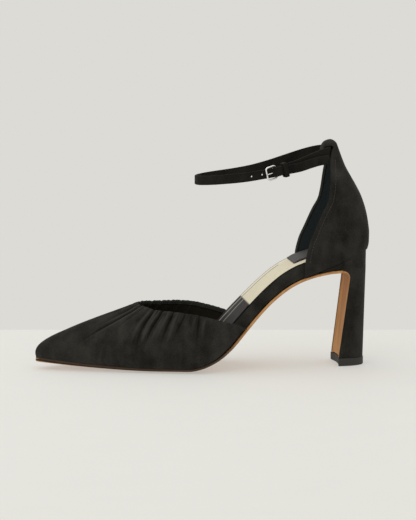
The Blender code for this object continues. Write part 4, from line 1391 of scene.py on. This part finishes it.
@dataclass
class Vamp:
    """Gathered pointed front of the upper."""

    last: Last
    height: float = 0.0462
    wall: float = 0.0016
    toe_bulge: float = 0.0017
    draw_power: float = 2.12
    ridge_draw: float = 0.75
    ridge_power: float = 2.5
    corner_setback: float = 0.009
    corner_lift: float = 0.0007
    crease_gain: float = 1.12
    pucker: float = 0.00013
    puff: float = 0.0001
    fold_scale: float = 0.0011
    columns: int = 701
    rows: int = 57
    inner_step: int = 4
    blur_columns: int = 25

    def foot(self, share: Array) -> Array:
        """Lower edge over the bed, by equal steps along the outline from toe to corner.

        Args:
            share: Shares round the outline, -1 to 1.

        Returns:
            One point per share.
        """
        reach = turn_of(TOPLINE["along"][0] - self.corner_setback)
        turns = np.linspace(0, reach, 400)
        along = along_of(turns)
        lift = self.last.edge_rise * 0.9 + self.corner_lift * np.clip(turns / reach * 5 - 4, 0, 1)
        at = self.last.bed_point(along, lift)
        sides = []
        for side, sign in (("lateral", -1), ("medial", 1)):
            line = np.stack([at[:, 0], sign * self.last.half_width(along, side), at[:, 1]], axis=1)
            sides.append(read_line(walk(line), line, np.abs(share)))
        return np.where(share[:, None] < 0, sides[0], sides[1])

    def top(self, share: Array) -> Array:
        """Upper edge, its places drawn to the throat by the power 1.5 of the share.

        Args:
            share: Shares round the outline, -1 to 1.

        Returns:
            One point per share.
        """
        corner = self.last.bed_point(TOPLINE["along"][:1], np.zeros(1))[0, 1]
        rows = np.stack([(TOPLINE["along"] - 0.5) * self.last.length,
                         TOPLINE["side"] * self.last.ball_width / 2,
                         corner + TOPLINE["rise"] * (self.height - corner)], axis=1)
        here = walk(rows)
        throat = here[np.argmin(TOPLINE["along"])]
        pull = np.abs(share) ** 1.5
        place = np.where(share < 0, throat * (1 - pull), throat + (1 - throat) * pull)
        return read_curve(here, rows, place)

    def plain(self, share: Array, rise: Array) -> Array:
        """Surface before its creases.

        The plan goes from foot to top by a power of the rise r, drawn in over the ridge
        by another power times (1 - r), and the height evenly; the sides bulge by
        4 r (1 - r), and the toe by a sine over the lower half.

        Args:
            share: Shares round the outline, -1 and 1 at the corners and 0 at the toe.
            rise: Shares of the height.

        Returns:
            Points by share and rise.
        """
        foot, top = self.foot(share), self.top(share)
        around = np.abs(share)[:, None]
        ridge = self.ridge_draw * rise ** self.ridge_power * (1 - rise) * (1 - around)
        drawn = rise ** self.draw_power + ridge
        grid = foot[:, None] + (top - foot)[:, None] * drawn[:, :, None]
        grid[:, :, 2] = foot[:, 2, None] + (top[:, 2] - foot[:, 2])[:, None] * rise
        toe = np.sin(math.pi * np.clip(rise * 2, 0, 1)) * np.clip(1 - around * 4, 0, 1)
        grid[:, :, 0] -= self.toe_bulge * toe
        side = 4 * rise * (1 - rise) * np.clip(around * 3, 0, 1)
        grid[:, :, 1] += np.sign(foot[:, 1])[:, None] * self.last.side_bulge * side
        return grid

    def relief(self, grid: Array, share: Array, rise: Array) -> Array:
        """Depth of the gathers under the plain surface.

        Each fold is a narrow trough, e to the minus root of (distance squared + 0.06),
        from its leaning line; it fades from the topline to its low end. Between folds
        the surface puffs out, and a fine ripple runs along the hem.

        Args:
            grid: The plain surface.
            share: Its shares round the outline.
            rise: Its shares of the height.

        Returns:
            Depth at each point of the grid.
        """
        metres = np.linalg.norm(np.gradient(grid, axis=0), axis=2).cumsum(axis=0)
        depth = np.zeros(grid.shape[:2])
        for place, drift, deep, width, low in zip(*CREASES.values()):
            centre = place + drift * (1 - rise)
            at = np.stack([np.interp(centre[j], share, metres[:, j]) for j in range(len(rise))])
            off = (metres - at[None, :]) / (width * (0.50 + 0.9 * (1 - rise)))[None, :]
            bell = np.exp(0.25 - np.sqrt(off ** 2 + 0.06) * 1.15)
            fade = ease(low - 0.05, low + (1 - low) * 0.90, rise)
            depth += self.crease_gain * deep * bell * fade[None, :]
        calm = np.where(share > 0, 0.72, 0.35)[:, None] * ease(0.90, 1.0, rise)[None, :]
        depth = depth * (1 - calm) - self.puff * ease(0.45, 0.85, rise)[None, :]
        ripple = np.sin(metres / 0.0029 * 2 * math.pi) * np.sin(metres / 0.0113 * 2 * math.pi + 0.7)
        depth += self.pucker * ripple * ease(0.84, 0.97, rise)[None, :]
        corners = 1 - ease(0.90, 0.99, np.abs(share))
        return depth * corners[:, None]

    def build(self, suede: Material) -> Piece:
        """Wall through plain surface and creases, with a rolled hem at the topline.

        Args:
            suede: Its material.

        Returns:
            The new object.
        """
        share, rise = np.linspace(-1, 1, self.columns), np.linspace(0, 1, self.rows)
        plain = self.plain(share, rise)
        normals = surface_normals(plain)
        creased = self.relief(plain, share, rise)[:, :, None]
        outer = plain - normals * creased
        inner = (plain - normals * (self.wall + creased * 0.6))[:, ::self.inner_step]
        window = np.ones(self.blur_columns) / self.blur_columns
        blur = np.apply_along_axis(np.convolve, 0, creased[:, :, 0], window, "same")
        # The mark "fold", the crease depth less its blurred mean, carries the painted shade in the troughs
        # and the painted highlight on the ridges.
        fold = (creased[:, :, 0] - blur) / self.fold_scale
        rings = wall_rings(outer, inner, False)
        drop = distance_from_start(plain[:, ::-1], 1)[:, ::-1]
        inside = np.ones(inner.shape[:2])
        marks = {"inside": wall_mark(drop * 0, inside, False),
                 "drop": wall_mark(drop, drop[:, ::self.inner_step], False),
                 "fold": wall_mark(fold, inside * 0, False)}
        piece = put_loft("vamp_suede", rings, marks, sharp_degrees=70.0)
        return dress(piece, suede, "black_suede", "vamp")


@dataclass
class Quarter:
    """Closed heel cup and the back tab folded over the strap."""

    last: Last
    back_height: float = 0.162
    wall: float = 0.0016
    tab_droop: float = 0.0013
    side_power: float = 0.8
    stitch_inset: float = 0.0027
    stitch_pitch: float = 0.0021
    stitch_length: float = 0.0017
    stitch_radius: float = 0.00019
    stitch_lift: float = 0.00004
    stitch_span: tuple = (0.03, 0.70)
    rows: int = 150
    columns: int = 101

    def surface(self, rows: Array, around: Array) -> Array:
        """Outer face: each row is a U, the back point led to the front edges by 1 - cosine.

        Args:
            rows: Shares of the way up the table.
            around: Shares of the way round, -1 to 1.

        Returns:
            Points by row and share.
        """
        front_seat = self.last.bed_point(QUARTER["front_along"][:1], np.zeros(1))[0, 1]
        seat = self.last.heel_rise
        back_rise = seat + QUARTER["back_rise"] * (self.back_height - seat)
        front_rise = front_seat + QUARTER["front_rise"] * (self.back_height - front_seat)
        given = np.stack([QUARTER["back_along"], back_rise, QUARTER["front_along"], front_rise,
                          QUARTER["half_width"]], axis=1)
        here = walk(given[:, :2] * [self.last.length, 1.0])
        given[:, 3] -= self.tab_droop * ease(0.70, 0.86, here) * ease(0.0, 0.05, 1.02 - here)
        back_along, back_z, front_along, front_z, half = read_curve(here, given, rows).T[:, :, None]
        swing = around[None, :] * math.pi / 2
        depth = 1 - np.cos(swing)
        x = (back_along + (front_along - back_along) * depth - 0.5) * self.last.length
        z = back_z + (front_z - back_z) * depth
        side = np.sign(swing) * np.abs(np.sin(swing)) ** self.side_power * half * self.last.ball_width / 2
        return np.stack([x, side, z], axis=2)

    def build(self, suede: Material) -> Piece:
        """Wall with rounded front edges; the mark "drop" is the distance to them.

        Args:
            suede: Its material.

        Returns:
            The new object.
        """
        outer = self.surface(np.linspace(0, 1, self.rows), np.linspace(-1, 1, self.columns))
        inner = outer - surface_normals(outer) * self.wall
        left = distance_from_start(outer, 1)
        drop = np.minimum(left, left[:, -1:] - left)
        rings = wall_rings(outer, inner)
        # With the lining nap the inner face next to the front edges gets a painted highlight as a turned hem;
        # "fold" is zero, so no painted crease shade.
        marks = {"inside": wall_mark(0 * drop, 0 * drop + 1), "drop": wall_mark(drop, drop),
                 "fold": wall_mark(0 * drop, 0 * drop)}
        piece = put_loft("quarter_suede", rings, marks, sharp_degrees=70.0)
        return dress(piece, suede, "black_suede", "quarter")

    def stitch(self, thread: Material) -> None:
        """A row of stitches behind each front edge, from the seat up to the tab.

        Args:
            thread: Their material.
        """
        rows = np.linspace(*self.stitch_span, self.rows * 2)
        outer = self.surface(rows, np.linspace(-1, 1, self.columns * 4 - 3))
        normals = surface_normals(outer)
        left = distance_from_start(outer, 1)
        pick = np.arange(len(rows))
        for name, distance in (("lateral", left), ("medial", left[:, -1:] - left)):
            column = np.abs(distance - self.stitch_inset).argmin(axis=1)
            path = outer[pick, column] + normals[pick, column] * self.stitch_lift
            row = put_stitches(f"quarter_stitches_{name}", path, normals[pick, column],
                               self.stitch_pitch, self.stitch_length, self.stitch_radius)
            dress(row, thread, "black_suede")


@dataclass
class HeelBlock:
    """Suede-covered block heel."""

    last: Last
    form: HeelForm
    steps: int = 28

    def build(self, suede: Material) -> Piece:
        """Rings from the lip round the bend and down the breast, as the CAD heel has them.

        Args:
            suede: Its material.

        Returns:
            The new object.
        """
        form, last = self.form, self.last
        line, normals, lip = form.line(self.steps)
        share = walk(line)
        front = line + normals * (last.sole_thickness + last.gap)
        front[0, 1] += form.lip_thickness
        front[:lip, 1] += last.gap
        front[-1, 1] = form.toplift_height + last.gap
        top = np.array([last.length / 2 - last.back_inset, last.heel_rise + last.gap * 0.7])
        base = np.array([top[0] - form.back_lean, form.toplift_height + last.gap])
        back = top + (base - top) * smooth(HEEL_FORM["down"], HEEL_FORM["back_down"], share)[:, None]
        half, hollow = form.half_width(share), normals * (form.hollow * form.ramp(share))[:, None]
        hollow[-1, 1] = 0
        cheek = np.hstack([line - front, form.ramp(share)[:, None]])
        cheek[-1, 1] = 0
        rings = np.array([form.ring(*each) for each in zip(front, back, half, hollow, cheek)])
        return dress(put_loft("heel_suede", rings, sharp_degrees=48.0), suede, "black_suede", "heel")


@dataclass
class AnkleStrap:
    """Strap from its fold round the hinge bar to its tail, its buckle and its keeper."""

    last: Last
    back_height: float = 0.162
    width: float = 0.0066
    thickness: float = 0.0018
    fold_thickness: float = 0.0008
    loop_length: float = 0.0964
    loop_width: float = 0.0516
    loop_rise: float = 0.0206
    drop: float = 0.0076
    back_along: float = 0.881
    tail_rows: int = 7
    tail_short: float = 0.40
    tail_droop: float = 0.0052
    tail_gap: float = 0.0004
    wire: float = 0.0012
    corner: float = 0.0018
    play: float = 0.0005
    prong: float = 0.0008
    curl_turns: float = 0.79
    hole: float = 0.0014
    hole_pitch: float = 0.0074
    hole_setback: float = 0.0032
    hole_count: int = 2
    fold_lap: float = 0.0044
    keeper_length: float = 0.0031
    keeper_thickness: float = 0.0010
    keeper_place: float = 0.0060
    keeper_slack: float = 0.0008
    steps: int = 260

    def rows(self) -> Array:
        """Rows of the strap's route in metres.

        Returns:
            One point per row of the table.
        """
        start = (self.back_along - 0.5) * self.last.length - self.loop_length
        front = self.back_height - self.drop - self.loop_rise
        return np.stack([start + STRAP_ROUTE["along"] * self.loop_length,
                         STRAP_ROUTE["side"] * self.loop_width / 2,
                         front + STRAP_ROUTE["rise"] * self.loop_rise], axis=1)

    def axes(self) -> tuple[Array, Array, Array, Array]:
        """Hinge bar's centre, and the buckle's axes: back along the strap, up, and out.

        Returns:
            The centre and three unit vectors.
        """
        rows = self.rows()
        back = unit(unit(rows[1] - rows[0]) + unit(rows[0] - rows[-1]))
        up = unit(np.array([0, 0, 1.0]) - back * back[2])
        return rows[0], back, up, np.cross(back, up)

    def bar(self) -> Array:
        """Centre of the front bar, outside the strap that runs in under it.

        Returns:
            The point.
        """
        hinge, _, up, out = self.axes()
        place = self.rows()[-1] + out * (self.thickness / 2 + self.play * 1.5 + self.wire / 2)
        return place - up * ((place - hinge) @ up)

    def radius(self) -> float:
        """Middle radius of the fold round the hinge bar."""
        return self.wire / 2 + self.play + self.fold_thickness / 2

    def path(self) -> tuple[Array, Array, Array]:
        """Centre line of the whole strap, its thickness and its upright at each point.

        The fold is an arc round the hinge bar whose laps pinch together by a smooth
        step; the tail lies outside the strap and droops by the power 0.8 of its length.

        Returns:
            Points, thicknesses and uprights.
        """
        hinge, back, up, out = self.axes()
        radius = self.radius()
        turn = np.linspace(-math.pi / 2, -3 * math.pi / 2, 17)
        lap = np.linspace(1, 0.25, 5)
        pinch = radius - (radius - self.fold_thickness * 0.7) * lap ** 2 * (3 - 2 * lap)
        flat = np.concatenate([np.stack([lap * self.fold_lap, -pinch], 1),
                               radius * np.stack([np.cos(turn), np.sin(turn)], 1),
                               np.stack([lap[::-1] * self.fold_lap, pinch[::-1]], 1)])
        fold = hinge + flat[:, :1] * back + flat[:, 1:] * out
        rows = self.rows()
        tail_out = self.thickness + self.tail_gap
        over = radius + self.fold_thickness / 2 + self.play + self.thickness / 2
        bridge = [hinge + out * over, hinge + back * self.fold_lap + out * (tail_out + self.play)]
        step = np.gradient(rows[:self.tail_rows + 1], axis=0)[1:self.tail_rows]
        sideways = unit(np.stack([step[:, 1], -step[:, 0], 0 * step[:, 0]], axis=1))
        droop = self.tail_droop * np.linspace(1 / self.tail_rows, 1, self.tail_rows - 1) ** 0.8
        tail = rows[1:self.tail_rows] + sideways * tail_out - droop[:, None] * np.array([0, 0, 1.0])
        tail[-1] += (tail[-2] - tail[-1]) * self.tail_short
        path = np.vstack([fold, rows[1:], bridge, tail])
        thick = np.full(len(path), self.thickness)
        thick[:len(fold)] = self.fold_thickness
        here = walk(path)
        fine = np.concatenate([here[:len(fold)], np.linspace(here[len(fold)], 1, self.steps)])
        curve = read_curve(here, path, fine)
        stand = np.tile([0, 0, 1.0], (len(fine), 1))
        stand[:len(fold)] = up
        return curve, np.interp(fine, here, thick), stand

    def prong_line(self) -> tuple[Array, Array]:
        """Straight part of the prong: its tip past the front bar and its root at the hinge.

        Returns:
            Tip and root.
        """
        hinge, _, _, out = self.axes()
        bar = self.bar()
        ahead = unit(bar - hinge)
        lift = unit(out - ahead * (ahead @ out)) * (self.wire / 2 + self.last.gap + self.prong / 2)
        return bar + lift + ahead * self.prong, hinge + lift

    def punch(self, strap: Piece) -> None:
        """Cut the holes, the prong's slot and its way through with exact cutters.

        Args:
            strap: The strap.
        """
        hinge, back, up, out = self.axes()
        rows, bar_x = self.rows(), self.bar()[0]
        front = rows[-8:]
        half_hole = out * self.thickness * 1.5
        rods = []
        for number in range(self.hole_count):
            x = bar_x - self.hole_setback - number * self.hole_pitch
            middle = read_line(front[:, 0], front, x)
            rods.append((middle - half_hole, middle + half_hole, self.hole / 2))
        tip, root = self.prong_line()
        rods.append((tip, root, self.prong / 2 + self.last.gap))
        reach = self.radius() + self.fold_thickness / 2 + self.last.gap * 0.7
        half_slot = self.prong / 2 + self.last.gap
        slot = np.stack([hinge + back * (a * (reach + self.last.gap)) + up * (b * half_slot)
                         for a, b in ((1, 1), (-1, 1), (-1, -1), (1, -1))])
        cutters = [put_loft("prong_slot", np.stack([slot - out * reach, slot + out * reach]))]
        cut_out(strap, cutters + [put_rod(*rod) for rod in rods])

    def build(self, suede: Material, silver: Material) -> None:
        """Strap, frame, prong and keeper.

        Args:
            suede: Material of strap and keeper.
            silver: Material of frame and prong.
        """
        path, thick, stand = self.path()
        strap = put_band("strap_suede", path, stand, thick, np.full(len(path), self.width))
        self.punch(strap)
        dress(strap, suede, "black_suede", "ankle_strap")
        self.build_buckle(silver)
        self.build_keeper(suede)

    def build_buckle(self, silver: Material) -> None:
        """Frame as a closed wire through both bars, and the prong curled round the hinge bar.

        Args:
            silver: Their material.
        """
        hinge, _, up, _ = self.axes()
        bar = self.bar()
        ahead = unit(bar - hinge)
        half = np.linalg.norm(bar - hinge) / 2
        tall = self.width / 2 + self.play + self.wire / 2
        loop = rounded_box(half, tall, self.corner, 8)
        points = (hinge + bar) / 2 + loop[:, :1] * ahead + loop[:, 1:] * up
        frame = put_wire("buckle_wire", points, self.wire, True)
        dress(frame, silver, "buckle_silver", "buckle_frame")
        tip, root = self.prong_line()
        ahead, lift = unit(tip - root), root - hinge
        turn = np.linspace(0, self.curl_turns * 2 * math.pi, 24)[:, None]
        curl = hinge + lift * np.cos(turn) - ahead * np.linalg.norm(lift) * np.sin(turn)
        straight = tip + (root - tip) * np.linspace(0, 0.95, 10)[:, None]
        prong = put_wire("buckle_tongue", np.vstack([straight, curl]), self.prong)
        dress(prong, silver, "buckle_silver", "buckle_prong")

    def build_keeper(self, suede: Material) -> Piece:
        """Keeper: a closed band round strap and tail, its outline a rounded rectangle.

        Args:
            suede: Its material.

        Returns:
            The keeper.
        """
        hinge, back, up, out = self.axes()
        low = -self.thickness / 2 - self.last.gap
        high = self.thickness * 1.5 + self.tail_gap + self.play + 2 * self.last.gap
        half_depth = (high - low + self.keeper_thickness) / 2
        half_height = self.width / 2 + self.keeper_slack + self.keeper_thickness / 2
        centre = hinge + back * self.keeper_place + out * (low + high) / 2 - up * self.keeper_slack * 0.4
        loop = rounded_box(half_depth, half_height, self.keeper_thickness, 6)
        points = centre + loop[:, :1] * out + loop[:, 1:] * up
        full = np.ones(len(points))
        keeper = put_band("keeper_suede", points, full[:, None] * back, full * self.keeper_thickness,
                          full * self.keeper_length, True)
        return dress(keeper, suede, "black_suede", "strap_keeper")


@dataclass
class Studio:
    """Floor, light and camera of the photograph."""

    azimuth: float = -6.7
    elevation: float = 6.7
    distance: float = 1.6
    focal_pixels: float = 2237.75
    image_height: float = 520.0
    sensor: float = 36.0
    aim: tuple = (0.0037, 0.0, 0.0761)
    floor_back: float = 0.173
    floor_reach: float = 3.0
    floor_dark: tuple = (0.425, 0.420, 0.403)
    floor_light: tuple = (0.440, 0.435, 0.417)
    # Glow of the floor: painted light that lightens the shoe's shadow on it.
    floor_glow: tuple = (0.362, 0.358, 0.340)
    wall_colour: tuple = (0.716, 0.708, 0.672)
    lights: list = field(default_factory=lambda: [
        ("overhead_softbox", (-0.25, 0.15, 1.35), 1.9, 6.0),
        ("front_left_softbox", (-1.2, -1.6, 1.10), 1.4, 4.0),
    ])

    def back_vector(self) -> Array:
        """Unit vector from the shoe to the camera."""
        turn, tilt = math.radians(self.azimuth), math.radians(self.elevation)
        return np.array([math.sin(turn) * math.cos(tilt), -math.cos(turn) * math.cos(tilt), math.sin(tilt)])

    def build_camera(self) -> None:
        """Camera at the photograph's angle, its lens from the focal length in pixels."""
        camera = bpy.data.objects.new("photo_camera", bpy.data.cameras.new("photo_camera"))
        bpy.context.scene.collection.objects.link(camera)
        camera.data.sensor_width = self.sensor
        camera.data.lens = self.focal_pixels / self.image_height * self.sensor
        camera.data.clip_start = 0.01
        away = Vector(self.back_vector())
        camera.location = Vector(self.aim) + away * self.distance
        camera.rotation_euler = away.to_track_quat("Z", "Y").to_euler()
        bpy.context.scene.camera = camera

    def build_floor(self) -> None:
        """Pale floor that ends behind the shoe, square to the camera's view, and glows evenly on its own:
        painted light that lightens the shoe's shadow.
        """
        turn = math.radians(self.azimuth)
        across = np.array([math.cos(turn), math.sin(turn), 0])
        deep = np.array([-math.sin(turn), math.cos(turn), 0])
        far, back = self.floor_reach, self.floor_back
        corners = [across * a + deep * b for a, b in ((-far, -far), (far, -far), (far, back), (-far, back))]
        mesh = bpy.data.meshes.new("studio_floor")
        mesh.from_pydata([tuple(corner) for corner in corners], [], [(0, 1, 2, 3)])
        floor = bpy.data.objects.new("studio_floor", mesh)
        bpy.context.scene.collection.objects.link(floor)
        paint = Painter("studio_floor")
        colour = paint.mix(paint.noise(30.0, 2.0), self.floor_dark, self.floor_light)
        # The emission is painted light: it lifts the shoe's shadow on the floor and lights the shoe's
        # underside.
        mesh.materials.append(paint.finish(Base_Color=colour, Roughness=0.7, Specular_IOR_Level=0.2,
                                           Emission_Color=self.floor_glow, Emission_Strength=1.0))

    def build_lights(self) -> None:
        """Pale surroundings and large soft lights aimed at the shoe."""
        world = bpy.data.worlds.new("studio_air")
        world.use_nodes = True
        world.node_tree.nodes["Background"].inputs["Color"].default_value = (*self.wall_colour, 1.0)
        bpy.context.scene.world = world
        for name, place, size, power in self.lights:
            light = bpy.data.objects.new(name, bpy.data.lights.new(name, "AREA"))
            bpy.context.scene.collection.objects.link(light)
            light.data.size = size
            light.data.energy = power
            light.location = place
            light.rotation_euler = (Vector(place) - Vector(self.aim)).to_track_quat("Z", "Y").to_euler()

    def build(self) -> None:
        """Camera, floor and lights, with colours shown as they are."""
        bpy.context.scene.view_settings.view_transform = "Standard"
        self.build_camera()
        self.build_floor()
        self.build_lights()


def main() -> None:
    """Build every class of piece in order."""
    logging.basicConfig(level=logging.INFO, format="%(message)s")
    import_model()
    Studio().build()
    suede = Suede("black_suede").build()
    strap_suede = Suede("strap_suede", dark=(0.0040, 0.0034, 0.0027), light=(0.0205, 0.0190, 0.0160)).build()
    lined = Suede("vamp_suede", Nap.LINING).build()
    cup_suede = Suede("quarter_suede", Nap.LINING, lining=(0.0260, 0.0340, 0.0360), hem=0.0014).build()
    sole_leather = SoleLeather().build()
    sock_leather = SockLeather().build()
    pad_leather = PlainLeather("heel_pad_leather", (0.026, 0.0245, 0.0235), (0.048, 0.044, 0.042)).build()
    rubber, silver, thread = Rubber().build(), Metal().build(), Thread().build()
    last = Last()
    form = HeelForm(last)
    sole = Sole(last, form)
    sole.build(sole_leather)
    sole.build_toplift(rubber)
    Bed(last).build(suede, sock_leather, pad_leather)
    Vamp(last).build(lined)
    quarter = Quarter(last)
    quarter.build(cup_suede)
    quarter.stitch(thread)
    HeelBlock(last, form).build(suede)
    AnkleStrap(last).build(strap_suede, silver)


if __name__ == "__main__":
    main()
